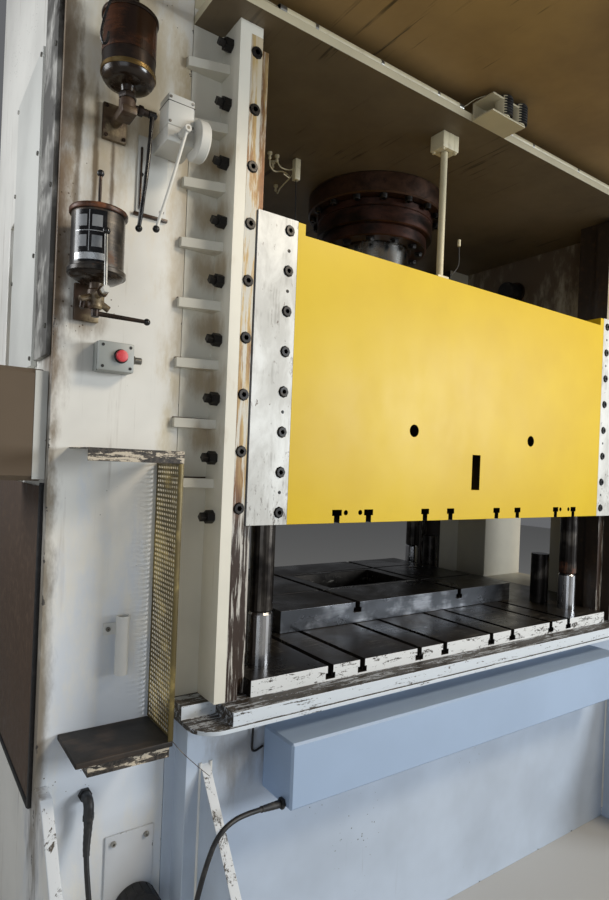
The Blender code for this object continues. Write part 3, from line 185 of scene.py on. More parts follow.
def run_down_effect():
    """Dirt that has run down a standing face in thin, broken lines."""
    w, given, out = effect(
        "run-down dirt",
        [("Spread", "Vector", (26, 26, 1.4)), ("Amount", "Float", 0.4), ("Patches", "Float", 2.2)],
        [("Mask", "Float")],
    )
    lines = w.noise(w.place(given["Spread"]), 1.0, 5.0, 0.62)
    patches = w.noise(w.place(), given["Patches"], 4.0, 0.6, 0.4)
    level = w.minus(0.78, w.times(given["Amount"], 0.36))
    lines = w.fit(lines, level, w.plus(level, 0.16))
    w.put(out["Mask"], w.times(lines, w.fit(patches, 0.36, 0.62), clamp=True))
    return w.tree


def chips_effect():
    """Paint knocked off, most of it near an edge."""
    w, given, out = effect(
        "chipped paint",
        [("Distance", "Float", 0.0), ("Reach", "Float", 0.01), ("Size", "Float", 60.0),
         ("Amount", "Float", 0.3)],
        [("Mask", "Float")],
    )
    coarse = w.noise(w.place(), w.times(given["Size"], 0.3), 2.0, 0.5)
    small = w.noise(w.place(), given["Size"], 4.0, 0.6, 0.6)
    both = w.plus(w.times(coarse, 0.5), w.times(small, 0.5))
    away = w.math("DIVIDE", given["Distance"], given["Reach"])
    level = w.plus(w.minus(0.72, w.times(given["Amount"], 0.3)), w.times(away, 0.12))
    w.put(out["Mask"], w.fit(both, level, w.plus(level, 0.015)))
    return w.tree


def specks_effect():
    """Small splashed specks and nicks, scattered unevenly."""
    w, given, out = effect(
        "specks", [("Count", "Float", 60.0), ("Size", "Float", 0.2),
                   ("Amount", "Float", 0.3)], [("Mask", "Float")]
    )
    cells = w.node("TexVoronoi", Vector=w.place(), Scale=given["Count"], Randomness=1.0)
    chosen = w.fit(w.noise(w.place(), 3.0, 3.0), w.minus(0.75, given["Amount"]), 0.8)
    size = w.times(given["Size"], chosen)
    w.put(out["Mask"], w.math("LESS_THAN", cells.outputs["Distance"], size))
    return w.tree


def scratches_effect():
    """Fine scratches along one way, with a few deep ones."""
    w, given, out = effect(
        "scratches", [("Spread", "Vector", (160, 160, 4)), ("Amount", "Float", 0.4)], [("Mask", "Float"),
                                                                                       ("Deep", "Float")]
    )
    fine = w.noise(w.place(given["Spread"]), 1.0, 6.0, 0.7)
    broken = w.noise(w.place(), 9.0, 3.0)
    w.put(out["Mask"], w.times(fine, w.fit(broken, 0.3, 0.7), clamp=True))
    level = w.minus(0.72, w.times(given["Amount"], 0.2))
    w.put(out["Deep"], w.times(w.fit(fine, level, w.plus(level, 0.03)), w.fit(broken, 0.45, 0.6)))
    return w.tree


def stain_and_light_patch_effect():
    """A soft patch round one place, torn at its rim, used for stained marks and for painted light and
    shade.
    """
    w, given, out = effect(
        "stain and light patch",
        [("Centre", "Vector", (0, 0, 0)), ("Reach", "Vector", (0.1, 0.1, 0.1)), ("Ragged", "Float", 0.6)],
        [("Mask", "Float")],
    )
    spot = w.vector("DIVIDE", w.vector("SUBTRACT", w.place(), given["Centre"]), given["Reach"])
    far = w.vector("LENGTH", spot)
    torn = w.times(w.minus(w.noise(w.place((1, 1, 0.35)), 22.0, 5.0, 0.65), 0.5), given["Ragged"])
    w.put(out["Mask"], w.fit(w.plus(far, w.times(torn, 3.0)), 1.0, 0.15))
    return w.tree


def brush_effect():
    """The skin of brushed or rolled enamel: slow waves and a fine peel, for a Bump's height."""
    w, given, out = effect("enamel skin", [("Peel", "Float", 260.0)],
                           [("Height", "Float"), ("Tone", "Float")])
    waves = w.noise(w.place(), 7.0, 2.0)
    peel = w.noise(w.place(), given["Peel"], 2.0)
    w.put(out["Height"], w.plus(w.times(waves, 0.7), w.times(peel, 0.12)))
    w.put(out["Tone"], w.noise(w.place(), 2.3, 4.0, 0.6))
    return w.tree


EDGE = block_edge_effect()
RUNS = run_down_effect()
CHIPS = chips_effect()
SPECKS = specks_effect()
SCRATCHES = scratches_effect()
STAIN_AND_LIGHT_PATCH = stain_and_light_patch_effect()
SKIN = brush_effect()


# Finishes


def new_finish(name):
    """A new finish: (material, wiring, shader)."""
    made = bpy.data.materials.new(name)
    made.use_nodes = True
    w = Wiring(made.node_tree)
    shader = made.node_tree.nodes["Principled BSDF"]
    return made, w, shader


def set_surface(w, shader, colour, roughness, height=None, strength=0.2, depth=0.001, **more):
    """Joins a finish to its shader, with a bump where a height is given."""
    w.put(shader.inputs["Base Color"], colour)
    w.put(shader.inputs["Roughness"], roughness)
    for label, value in more.items():
        w.put(shader.inputs[label.replace("_", " ")], value)
    if height is not None:
        bump = w.node("Bump", Height=height, Strength=strength, Distance=depth)
        w.put(shader.inputs["Normal"], bump.outputs["Normal"])


def enamel(name, paint, block, under=srgb(70, 66, 62), dirt=srgb(120, 96, 62), runs=0.3, chips=0.3,
           reach=0.01, size=60.0, specks=0.1, rough=0.42, tone=0.10, stains_and_painted_light=()):
    """Old enamel on steel: uneven tone, runs of dirt, specks, edge chips, stained patches, painted light
    and shade.
    """
    made, w, shader = new_finish(name)
    skin = w.use(SKIN)
    shade = w.blend(w.fit(skin["Tone"], 0.3, 0.75, 0.0, 1.0), paint, shaded(paint, 1 - tone * 2))
    run = w.use(RUNS, Amount=runs)["Mask"]
    thin = w.use(RUNS, Spread=(120, 120, 1.7), Amount=runs * 0.65, Patches=1.9)["Mask"]
    shade = w.blend(w.times(run, min(1.0, 0.35 + runs)), shade, dirt)
    shade = w.blend(w.times(thin, min(1.0, 0.4 + runs)), shade, shaded(dirt, 0.7))
    # The patches hold stained marks, tints of painted light and painted shade, as each list gives them.
    for centre, far, colour, weight in stains_and_painted_light:
        mark = w.use(STAIN_AND_LIGHT_PATCH, Centre=centre, Reach=far)["Mask"]
        shade = w.blend(w.times(mark, weight), shade, colour)
    speck = w.use(SPECKS, Amount=specks)["Mask"]
    shade = w.blend(w.times(speck, 0.8), shade, shaded(dirt, 0.5))
    distance = w.use(EDGE, Low=block[0], High=block[1])["Distance"]
    chip = w.use(CHIPS, Distance=distance, Reach=reach, Size=size, Amount=chips)
    shade = w.blend(chip["Mask"], shade, under)
    height = w.minus(skin["Height"], w.times(chip["Mask"], 0.8))
    roughness = w.plus(rough, w.times(w.math("MAXIMUM", run, chip["Mask"]), 0.25))
    set_surface(w, shader, shade, roughness, height, strength=0.25, depth=0.0012)
    return made


def worn_steel(name, dark, light, rust=srgb(104, 58, 30), rusty=0.2, rough=0.35, metal=0.8,
               spread=(150, 150, 4), scratch=0.4, bumps=0.15):
    """Bare steel: oily tone, scratches along the way it runs, and rust in patches."""
    made, w, shader = new_finish(name)
    marks = w.use(SCRATCHES, Spread=spread, Amount=scratch)
    cloud = w.noise(w.place(), 5.0, 5.0, 0.6, 0.5)
    shade = w.blend(w.fit(marks["Mask"], 0.15, 0.6), dark, light)
    shade = w.blend(w.times(marks["Deep"], 0.5), shade, shaded(light, 1.8))
    fine = w.noise(w.place(), 60.0, 4.0, 0.7)
    spots = w.fit(w.plus(cloud, w.times(fine, 0.25)), 0.82 - rusty * 0.5, 0.92 - rusty * 0.4)
    shade = w.blend(spots, shade, rust)
    roughness = w.plus(w.fit(cloud, 0.3, 0.7, rough - 0.1, rough + 0.12), w.times(spots, 0.3))
    metallic = w.times(w.minus(1.0, spots), metal)
    height = w.plus(w.times(marks["Mask"], 0.5), w.times(spots, 0.3))
    set_surface(w, shader, shade, roughness, height, strength=bumps, depth=0.0008, Metallic=metallic)
    return made


def plain_coat(name, colour, rough=0.45, spot=srgb(150, 140, 120), dust=0.2, metal=0.0):
    """A small moulded, dipped or cast piece: fine skin, dust in its hollows and slight change of tone."""
    made, w, shader = new_finish(name)
    skin = w.use(SKIN, Peel=400.0)
    grain = w.noise(w.place(), 35.0, 5.0, 0.65)
    shade = w.blend(w.times(w.fit(grain, 0.5, 0.75), dust), colour, spot)
    roughness = w.fit(grain, 0.3, 0.7, rough - 0.08, rough + 0.12)
    set_surface(w, shader, shade, roughness, skin["Height"], strength=0.3, depth=0.0006, Metallic=metal)
    return made


def chrome(name, tint=srgb(205, 205, 208), film=srgb(96, 86, 70), oily=0.35):
    """Ground and chromed rod, with a film of oil and fine rings from its work."""
    made, w, shader = new_finish(name)
    rings = w.noise(w.place((3, 3, 220)), 1.0, 4.0, 0.6)
    wet = w.noise(w.place((14, 14, 3)), 1.0, 4.0, 0.6)
    shade = w.blend(w.times(w.fit(wet, 0.42, 0.7), oily), tint, film)
    roughness = w.plus(w.fit(wet, 0.35, 0.7, 0.10, 0.28), w.times(rings, 0.08))
    set_surface(w, shader, shade, roughness, rings, strength=0.05, depth=0.0004, Metallic=1.0)
    return made


def slide_enamel(block):
    """The slide's fresh yellow gloss: faint brush waves, smudges and a few scuffs near the foot."""
    made, w, shader = new_finish("slide yellow")
    skin = w.use(SKIN, Peel=180.0)
    yellow, deep = srgb(216, 184, 18), srgb(208, 174, 14)
    shade = w.blend(w.fit(skin["Tone"], 0.3, 0.7), yellow, deep)
    smudge = w.noise(w.place((5, 5, 3)), 1.0, 5.0, 0.6, 0.0)
    shade = w.blend(w.times(w.fit(smudge, 0.6, 0.75), 0.10), shade, srgb(160, 136, 40))
    run = w.use(RUNS, Amount=0.08, Spread=(46, 46, 3))["Mask"]
    shade = w.blend(w.times(run, 0.35), shade, srgb(120, 96, 30))
    speck = w.use(SPECKS, Amount=0.12, Count=45.0, Size=0.12)["Mask"]
    shade = w.blend(w.times(speck, 0.7), shade, srgb(90, 70, 28))
    distance = w.use(EDGE, Low=block[0], High=block[1])["Distance"]
    chip = w.use(CHIPS, Distance=distance, Reach=0.005, Size=110.0, Amount=0.25)["Mask"]
    shade = w.blend(chip, shade, srgb(78, 66, 42))
    roughness = w.plus(w.fit(smudge, 0.35, 0.7, 0.34, 0.40), w.times(chip, 0.3))
    set_surface(w, shader, shade, roughness, skin["Height"], strength=0.02, depth=0.0012,
                Specular_IOR_Level=0.22)
    return made


def scraped_rail():
    """Guide rail: brown rust and old white paint, scraped bright in long upright marks."""
    made, w, shader = new_finish("scraped rail")
    long_marks = w.noise(w.place((95, 95, 5)), 1.0, 6.0, 0.7, 0.3)
    patches = w.noise(w.place((18, 18, 3.2)), 1.0, 5.0, 0.62, 0.5)
    z = w.level()
    rust = w.blend(w.noise(w.place(), 60.0, 5.0, 0.7), srgb(76, 46, 24), srgb(136, 92, 48))
    ochre = w.blend(w.fit(patches, 0.35, 0.6), rust, srgb(186, 160, 108))
    white = w.fit(w.plus(w.times(long_marks, 0.55), w.times(patches, 0.45)), 0.47, 0.54)
    lower = w.fit(z, 1.35, 1.5)
    shade = w.blend(w.times(white, w.fit(z, 2.3, 2.75, 1.0, 0.35)), ochre, srgb(206, 203, 192))
    wet = w.blend(w.fit(long_marks, 0.52, 0.6), srgb(52, 36, 26), srgb(196, 192, 184))
    shade = w.blend(lower, wet, shade)
    roughness = w.fit(patches, 0.3, 0.7, 0.38, 0.62)
    metallic = w.times(w.minus(1.0, white), 0.25)
    set_surface(w, shader, shade, roughness, long_marks, strength=0.35, depth=0.0008, Metallic=metallic)
    return made


def scuffed_strip():
    """Wear strip: silver-white paint, scuffed through in short marks and stained round its screws."""
    made, w, shader = new_finish("scuffed strip")
    marks = w.use(SCRATCHES, Spread=(120, 120, 9), Amount=0.7)
    cloud = w.noise(w.place((10, 10, 4)), 1.0, 6.0, 0.68, 0.5)
    shade = w.blend(w.fit(cloud, 0.35, 0.62), srgb(214, 215, 212), srgb(188, 188, 184))
    shade = w.blend(w.times(w.fit(marks["Mask"], 0.35, 0.62), 0.45), shade, srgb(116, 112, 104))
    dirt = w.fit(w.noise(w.place((60, 60, 22)), 1.0, 6.0, 0.72, 0.8), 0.62, 0.68)
    shade = w.blend(w.times(dirt, 0.85), shade, srgb(82, 62, 44))
    foot = w.fit(w.level(), 1.62, 1.36)
    grimy = w.fit(w.noise(w.place((70, 70, 24)), 1.0, 6.0, 0.75), 0.55, 0.62)
    shade = w.blend(w.times(grimy, w.times(foot, 0.8)), shade, srgb(66, 50, 38))
    set_surface(w, shader, shade, w.fit(cloud, 0.3, 0.7, 0.36, 0.52), marks["Mask"], strength=0.3,
                depth=0.0006, Metallic=0.08)
    return made


def oily_table():
    """Table steel: nearly black with oil, bright scratches across it and dust where nothing slides."""
    made, w, shader = new_finish("oily table")
    cloud = w.noise(w.place(), 4.0, 6.0, 0.62, 0.6)
    shade = w.blend(w.fit(cloud, 0.35, 0.7), srgb(28, 25, 22), srgb(58, 52, 46))
    marks = w.use(SCRATCHES, Spread=(7, 150, 40), Amount=0.75)
    shade = w.blend(w.times(marks["Deep"], 0.5), shade, srgb(170, 164, 152))
    across = w.use(SCRATCHES, Spread=(150, 7, 40), Amount=0.6)
    shade = w.blend(w.times(across["Deep"], 0.35), shade, srgb(150, 142, 128))
    roughness = w.plus(w.fit(cloud, 0.3, 0.7, 0.22, 0.48), w.times(marks["Deep"], 0.1))
    height = w.plus(marks["Mask"], across["Mask"])
    set_surface(w, shader, shade, roughness, height, strength=0.12, depth=0.0006, Metallic=0.4,
                Specular_IOR_Level=0.35)
    return made


def trodden_ledge(name, cover, patches=0.5, spread=(4.5, 52, 52)):
    """White paint trodden or knocked through to black grime in smeared patches."""
    made, w, shader = new_finish(name)
    smear = w.noise(w.place(spread), 1.0, 7.0, 0.72, 0.9)
    fine = w.noise(w.place(), 120.0, 5.0, 0.7)
    both = w.plus(w.times(smear, 0.75), w.times(fine, 0.25))
    bare = w.fit(both, 0.62 - patches * 0.22, 0.66 - patches * 0.22)
    shade = w.blend(bare, cover, w.blend(w.fit(fine, 0.4, 0.6), srgb(30, 27, 25), srgb(74, 66, 58)))
    roughness = w.plus(0.38, w.times(fine, 0.25))
    set_surface(w, shader, shade, roughness, w.minus(1.0, bare), strength=0.4, depth=0.0008)
    return made


def streaked_painted_shade_underside(name, light, dark):
    """An unlit underside: paint darkened to brown as painted shade, with long, thin, dark streaks across
    it.
    """
    made, w, shader = new_finish(name)
    turn = w.node("Mapping", {"vector_type": "POINT"}, Vector=w.place(), Rotation=(0, 0, math.radians(24)),
                  Scale=(46, 2.2, 8))
    streak = w.noise(turn.outputs[0], 1.0, 4.0, 0.6, 0.3)
    cloud = w.noise(w.place(), 1.6, 5.0, 0.6)
    shade = w.blend(w.fit(cloud, 0.3, 0.7), light, dark)
    lines = w.times(w.fit(streak, 0.6, 0.68), w.fit(w.noise(w.place(), 3.5), 0.45, 0.6))
    shade = w.blend(w.times(lines, 0.8), shade, srgb(34, 26, 18))
    set_surface(w, shader, shade, w.fit(cloud, 0.3, 0.7, 0.45, 0.65), w.use(SKIN)["Height"], strength=0.2,
                depth=0.0012)
    return made


def oxide_bronze(name, dark, light):
    """Oiled brown oxide on the cylinder's forgings, turned in fine rings."""
    made, w, shader = new_finish(name)
    rings = w.noise(w.place((6, 6, 300)), 1.0, 3.0)
    cloud = w.noise(w.place((5, 5, 9)), 1.0, 6.0, 0.66, 0.8)
    shade = w.blend(w.fit(cloud, 0.35, 0.68), dark, light)
    pits = w.fit(w.noise(w.place(), 40.0, 4.0, 0.7), 0.55, 0.7)
    shade = w.blend(w.times(pits, 0.5), shade, srgb(30, 16, 10))
    set_surface(w, shader, shade, w.fit(cloud, 0.3, 0.7, 0.28, 0.46), rings, strength=0.15, depth=0.0005,
                Metallic=0.55)
    return made


# Making pieces


def coat(mesh, mats):
    """Gives a mesh these finishes alone; clearing a mesh that has none would lose each face's pick."""
    if mesh.materials:
        mesh.materials.clear()
    for mat in mats:
        mesh.materials.append(mat)
    return mesh


def finish_piece(name, mesh, mats, body, stands_for=(), smooth=35, even=False):
    """A mesh as a piece of the press: its finishes, shading, body and the solids that it stands for."""
    coat(mesh, mats)
    ob = bpy.data.objects.new(name, mesh)
    scene.collection.objects.link(ob)
    mesh.shade_smooth()
    mesh.set_sharp_from_angle(angle=math.radians(smooth))
    if even:
        level = ob.modifiers.new("even", "WEIGHTED_NORMAL")
        level.keep_sharp = True
        ob.data = applied(ob)
        ob.modifiers.clear()
    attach(ob, body)
    if stands_for:
        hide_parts(*stands_for)
    return ob


def applied(ob):
    """The object's mesh with its modifiers worked in."""
    bpy.context.view_layer.update()
    return bpy.data.meshes.new_from_object(ob.evaluated_get(bpy.context.evaluated_depsgraph_get()))


def piece(name, bm, mats, body="frame", stands_for=()):
    """A piece from the forms gathered so far."""
    bmesh.ops.recalc_face_normals(bm, faces=bm.faces)
    mesh = bpy.data.meshes.new(name)
    bm.to_mesh(mesh)
    bm.free()
    return finish_piece(name, mesh, mats, body, stands_for)


def stand_in(node, bm, mats, body="frame"):
    """A piece from the forms gathered so far, in the place of one solid."""
    return piece(node + "_dressed", bm, mats, body, (node,))


def join(bm, part, mat):
    """Puts one closed form into a piece, in the finish of that number."""
    for f in part.faces:
        f.material_index = mat
    mesh = bpy.data.meshes.new("part")
    part.to_mesh(mesh)
    part.free()
    bm.from_mesh(mesh)
    bpy.data.meshes.remove(mesh)


def add_block(bm, low, high, mat=0, edge=0.0015):
    """A block between two corners with rounded edges."""
    part = bmesh.new()
    bmesh.ops.create_cube(part, size=1)
    low, high = Vector(low), Vector(high)
    size = Vector([abs(h - l) for l, h in zip(low, high)])
    bmesh.ops.transform(part, matrix=Matrix.Diagonal((*size, 1)), verts=part.verts)
    bevel = min(edge, min(size) * 0.45)
    bmesh.ops.bevel(part, geom=part.edges[:], offset=bevel, segments=2, profile=0.5, affect="EDGES")
    bmesh.ops.transform(part, matrix=Matrix.Translation((low + high) / 2), verts=part.verts)
    join(bm, part, mat)


def add_turned(bm, profile, sides, place=Matrix.Identity(4), mat=0):
    """A closed form turned about Z from (radius, height) points that start and end on the axis."""
    part = bmesh.new()
    rings = []
    for radius, height in profile:
        if radius < 1e-6:
            rings.append([part.verts.new((0, 0, height))])
        else:
            angles = [2 * math.pi * i / sides for i in range(sides)]
            rings.append([part.verts.new((radius * math.cos(a), radius * math.sin(a), height))
                          for a in angles])
    for first, second in zip(rings, rings[1:]):
        for i in range(sides):
            j = (i + 1) % sides
            round_face = [first[i % len(first)], first[j % len(first)]]
            round_face += [second[j % len(second)], second[i % len(second)]]
            round_face = list(dict.fromkeys(round_face))
            if len(round_face) > 2:
                part.faces.new(round_face)
    bmesh.ops.recalc_face_normals(part, faces=part.faces)
    bmesh.ops.transform(part, matrix=place, verts=part.verts)
    join(bm, part, mat)


def along(start, end):
    """A turn and place that lays Z from start towards end."""
    start, end = Vector(start), Vector(end)
    return Matrix.Translation(start) @ (end - start).to_track_quat("Z", "Y").to_matrix().to_4x4()


def add_rod(bm, start, end, radius, sides=20, mat=0, edge=0.001, end_radius=None):
    """A round bar between two points with softened ends."""
    length = (Vector(end) - Vector(start)).length
    last = radius if end_radius is None else end_radius
    e = min(edge, length / 3, radius / 2, last / 2)
    profile = [(0, 0), (radius - e, 0), (radius, e), (last, length - e), (last - e, length), (0, length)]
    add_turned(bm, profile, sides, along(start, end), mat)


def add_ball(bm, centre, radius, mat=0):
    """A ball knob."""
    steps, sides = 10, 20
    turns = [math.pi * i / steps for i in range(1, steps)]
    profile = [(0, -radius), *[(radius * math.sin(t), -radius * math.cos(t)) for t in turns], (0, radius)]
    add_turned(bm, profile, sides, Matrix.Translation(centre), mat)


def nut(radius, height, inset=0.0005, rise=0.002):
    """The profile of a nut or collar that is chamfered at both faces."""
    side = [(radius, rise), (radius, height - rise)]
    return [(0, 0), (radius - inset, 0), *side, (radius - inset, height), (0, height)]


def smooth_route(points, count):
    """Evenly spaced points on a smooth curve through a route."""
    ends = [Vector(p) for p in points]
    ends = [ends[0] * 2 - ends[1]] + ends + [ends[-1] * 2 - ends[-2]]
    fine, steps = [], 24
    for a, b, c, d in zip(ends, ends[1:], ends[2:], ends[3:]):
        bend, twist = 2 * a - 5 * b + 4 * c - d, 3 * b - a - 3 * c + d
        for i in range(steps):
            t = i / steps
            fine.append(0.5 * ((2 * b) + (c - a) * t + bend * t**2 + twist * t**3))
    fine.append(Vector(points[-1]))
    runs = [0]
    for p, q in zip(fine, fine[1:]):
        runs.append(runs[-1] + (q - p).length)
    out, k = [], 0
    for i in range(count):
        target = runs[-1] * i / (count - 1)
        while k < len(runs) - 2 and runs[k + 1] < target:
            k += 1
        share = (target - runs[k]) / max(runs[k + 1] - runs[k], 1e-9)
        out.append(fine[k].lerp(fine[k + 1], share))
    return out


def add_tube(bm, points, radius, sides=10, mat=0, radii=None):
    """A round wire or hose along points, closed at both ends."""
    points = [Vector(p) for p in points]
    part = bmesh.new()
    ways = [(b - a).normalized() for a, b in zip(points, points[1:])]
    ways = [ways[0]] + [(a + b).normalized() for a, b in zip(ways, ways[1:])] + [ways[-1]]
    side = ways[0].orthogonal().normalized()
    rings = []
    for i, (spot, way) in enumerate(zip(points, ways)):
        side = (side - way * side.dot(way)).normalized()
        other = way.cross(side)
        r = radii[i] if radii else radius
        angles = [2 * math.pi * k / sides for k in range(sides)]
        rings.append([part.verts.new(spot + side * (r * math.cos(a)) + other * (r * math.sin(a)))
                      for a in angles])
    for first, second in zip(rings, rings[1:]):
        for k in range(sides):
            part.faces.new([first[k], first[(k + 1) % sides], second[(k + 1) % sides], second[k]])
    part.faces.new(list(reversed(rings[0])))
    part.faces.new(rings[-1])
    bmesh.ops.recalc_face_normals(part, faces=part.faces)
    join(bm, part, mat)


def dressed(node, body, mats, edge=0.002, pick=None, sharp=30, shape=None):
    """A solid of the press, its flat faces joined and edges rounded; pick gives each face its finish."""
    same_point, flat = 0.00002, math.radians(0.5)
    bm = bmesh.new()
    bm.from_mesh(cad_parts[node].data)
    bmesh.ops.remove_doubles(bm, verts=bm.verts, dist=same_point)
    bmesh.ops.dissolve_limit(bm, angle_limit=flat, verts=bm.verts, edges=bm.edges)
    if shape:
        for v in bm.verts:
            v.co = shape(v.co)
    edges = [e for e in bm.edges if len(e.link_faces) == 2 and e.calc_face_angle(0) > math.radians(sharp)]
    if edge:
        bmesh.ops.bevel(bm, geom=edges, offset=edge, segments=2, profile=0.5, affect="EDGES",
                        clamp_overlap=True)
    for f in bm.faces:
        f.material_index = pick(f.calc_center_median(), f.normal) if pick else 0
    mesh = bpy.data.meshes.new(node + "_dressed")
    bm.to_mesh(mesh)
    bm.free()
    return finish_piece(node + "_dressed", mesh, mats, body, (node,), even=True)


# What repeats


def geometry_tree(name, inputs):
    """An empty geometry tree with named sizes: (wiring, inputs, outputs)."""
    tree = bpy.data.node_groups.new(name, "GeometryNodeTree")
    tree.interface.new_socket("Geometry", in_out="INPUT", socket_type="NodeSocketGeometry")
    for label, kind, value in inputs:
        made = tree.interface.new_socket(label, in_out="INPUT", socket_type="NodeSocket" + kind)
        if value is not None:
            made.default_value = value
    tree.interface.new_socket("Geometry", in_out="OUTPUT", socket_type="NodeSocketGeometry")
    given = tree.nodes.new("NodeGroupInput").outputs
    return Wiring(tree, "GeometryNode"), given, tree.nodes.new("NodeGroupOutput").inputs


def laid_on_points(w, given, out, shape):
    """Sets the shape on every point, its Z along the point's own way, and gives it its finish."""
    way = w.node("InputNamedAttribute", {"data_type": "FLOAT_VECTOR"}, Name="way").outputs["Attribute"]
    turn = w.node("FunctionNodeAlignRotationToVector", {"axis": "Z"}, Vector=way).outputs[0]
    laid = w.node("InstanceOnPoints", Points=given["Geometry"], Instance=shape, Rotation=turn)
    real = w.node("RealizeInstances", Geometry=laid.outputs[0])
    done = w.node("SetMaterial", Geometry=real.outputs[0], Material=given["Finish"])
    w.put(out["Geometry"], done.outputs[0])
    return w.tree


def raised(w, height):
    return w.node("ShaderNodeCombineXYZ", Z=height).outputs[0]


def cap_screw_tree():
    """A socket screw: round head with a chamfer, and its six-sided socket."""
    w, given, out = geometry_tree(
        "socket screws",
        [("Radius", "Float", 0.0125), ("Height", "Float", 0.010), ("Socket", "Float", 0.0065),
         ("Finish", "Material", None)],
    )
    head = w.node("MeshCylinder", Vertices=20, Radius=given["Radius"],
                  Depth=given["Height"]).outputs["Mesh"]
    crown_part = w.node("MeshCone", Vertices=20, Depth=w.times(given["Height"], 0.18))
    w.put(crown_part.inputs["Radius Bottom"], given["Radius"])
    w.put(crown_part.inputs["Radius Top"], w.times(given["Radius"], 0.88))
    lift = raised(w, w.times(given["Height"], 0.5))
    crown_mesh = w.node("Transform", Geometry=crown_part.outputs["Mesh"], Translation=lift).outputs[0]
    socket = w.node("MeshCylinder", Vertices=6, Radius=given["Socket"],
                    Depth=given["Height"]).outputs["Mesh"]
    socket = w.node("Transform", Geometry=socket, Translation=lift).outputs[0]
    whole = w.node("MeshBoolean", {"operation": "UNION"})
    w.put(whole.inputs[1], head)
    w.tree.links.new(crown_mesh, whole.inputs[1])
    cut = w.node("MeshBoolean", {"operation": "DIFFERENCE"})
    w.put(cut.inputs[0], whole.outputs[0])
    w.put(cut.inputs[1], socket)
    return laid_on_points(w, given, out, cut.outputs[0])


def hex_bolt_tree():
    """A six-sided head or nut on its washer, with the end of its thread."""
    w, given, out = geometry_tree(
        "hexagon bolts",
        [("Across", "Float", 0.024), ("Height", "Float", 0.014), ("Thread", "Float", 0.0),
         ("Finish", "Material", None)],
    )
    radius = w.math("DIVIDE", given["Across"], math.sqrt(3))
    washer = w.node("MeshCylinder", Vertices=24, Radius=w.times(radius, 1.18))
    w.put(washer.inputs["Depth"], w.times(given["Height"], 0.3))
    head = w.node("MeshCylinder", Vertices=6, Radius=radius, Depth=given["Height"]).outputs["Mesh"]
    lift = raised(w, w.times(given["Height"], 0.5))
    head = w.node("Transform", Geometry=head, Translation=lift).outputs[0]
    stud = w.node("MeshCylinder", Vertices=16, Radius=w.times(radius, 0.55),
                  Depth=given["Thread"]).outputs["Mesh"]
    rise = raised(w, w.plus(given["Height"], w.times(given["Thread"], 0.5)))
    stud = w.node("Transform", Geometry=stud, Translation=rise).outputs[0]
    both = w.node("JoinGeometry")
    for mesh in (stud, head, washer.outputs["Mesh"]):
        w.tree.links.new(mesh, both.inputs[0])
    return laid_on_points(w, given, out, both.outputs[0])


def perforated_tree():
    """Perforated sheet, one cell for each point: a square of sheet with a small hole through it."""
    w, given, out = geometry_tree(
        "perforated sheet",
        [("Cell", "Vector", (0.012, 0.012, 0.002)), ("Hole", "Float", 0.0042),
         ("Finish", "Material", None)],
    )
    sheet = w.node("MeshCube", Size=given["Cell"], Vertices_X=2, Vertices_Y=2,
                   Vertices_Z=2).outputs["Mesh"]
    deep = w.times(w.node("ShaderNodeSeparateXYZ", Vector=given["Cell"]).outputs["Z"], 3.0)
    hole = w.node("MeshCylinder", Vertices=8, Radius=given["Hole"], Depth=deep).outputs["Mesh"]
    hole = w.node("Transform", Geometry=hole, Rotation=(0, 0, math.radians(22.5))).outputs[0]
    cut = w.node("MeshBoolean", {"operation": "DIFFERENCE"})
    w.put(cut.inputs[0], sheet)
    w.put(cut.inputs[1], hole)
    faces = w.vector("LENGTH", w.vector("MULTIPLY", w.node("InputNormal").outputs["Normal"], (1, 1, 0)))
    radial = w.vector("LENGTH", w.vector("MULTIPLY", w.node("InputPosition").outputs["Position"],
                                         (1, 1, 0)))
    outer = w.math("GREATER_THAN", radial, w.times(given["Hole"], 1.15))
    sides = w.times(w.math("GREATER_THAN", faces, 0.5), outer)
    rim = w.node("DeleteGeometry", {"domain": "FACE"}, Geometry=cut.outputs[0], Selection=sides)
    return laid_on_points(w, given, out, rim.outputs[0])


def weld_tree():
    """A weld bead along each edge of a path, rippled as it was laid."""
    w, given, out = geometry_tree(
        "weld beads", [("Radius", "Float", 0.005), ("Ripple", "Float", 0.005),
                       ("Finish", "Material", None)]
    )
    line = w.node("MeshToCurve", Mesh=given["Geometry"]).outputs[0]
    step = w.times(given["Ripple"], 0.34)
    line = w.node("ResampleCurve", {"mode": "LENGTH"}, Curve=line, Length=step).outputs[0]
    run = w.node("SplineParameter").outputs["Length"]
    wave = w.math("SINE", w.math("DIVIDE", w.times(run, 2 * math.pi), given["Ripple"]))
    uneven = w.noise(w.node("InputPosition").outputs["Position"], 45.0, 2.0)
    swell = w.plus(w.times(wave, 0.10), w.plus(0.75, w.times(uneven, 0.5)))
    line = w.node("SetCurveRadius", Curve=line, Radius=swell).outputs[0]
    ring = w.node("CurvePrimitiveCircle", Resolution=8, Radius=given["Radius"]).outputs["Curve"]
    bead = w.node("CurveToMesh", Curve=line, Profile_Curve=ring, Fill_Caps=True).outputs[0]
    done = w.node("SetMaterial", Geometry=bead, Material=given["Finish"])
    w.put(out["Geometry"], w.node("RealizeInstances", Geometry=done.outputs[0]).outputs[0])
    return w.tree


CAP_SCREW = cap_screw_tree()
HEX_BOLT = hex_bolt_tree()
PERFORATED = perforated_tree()
WELD = weld_tree()


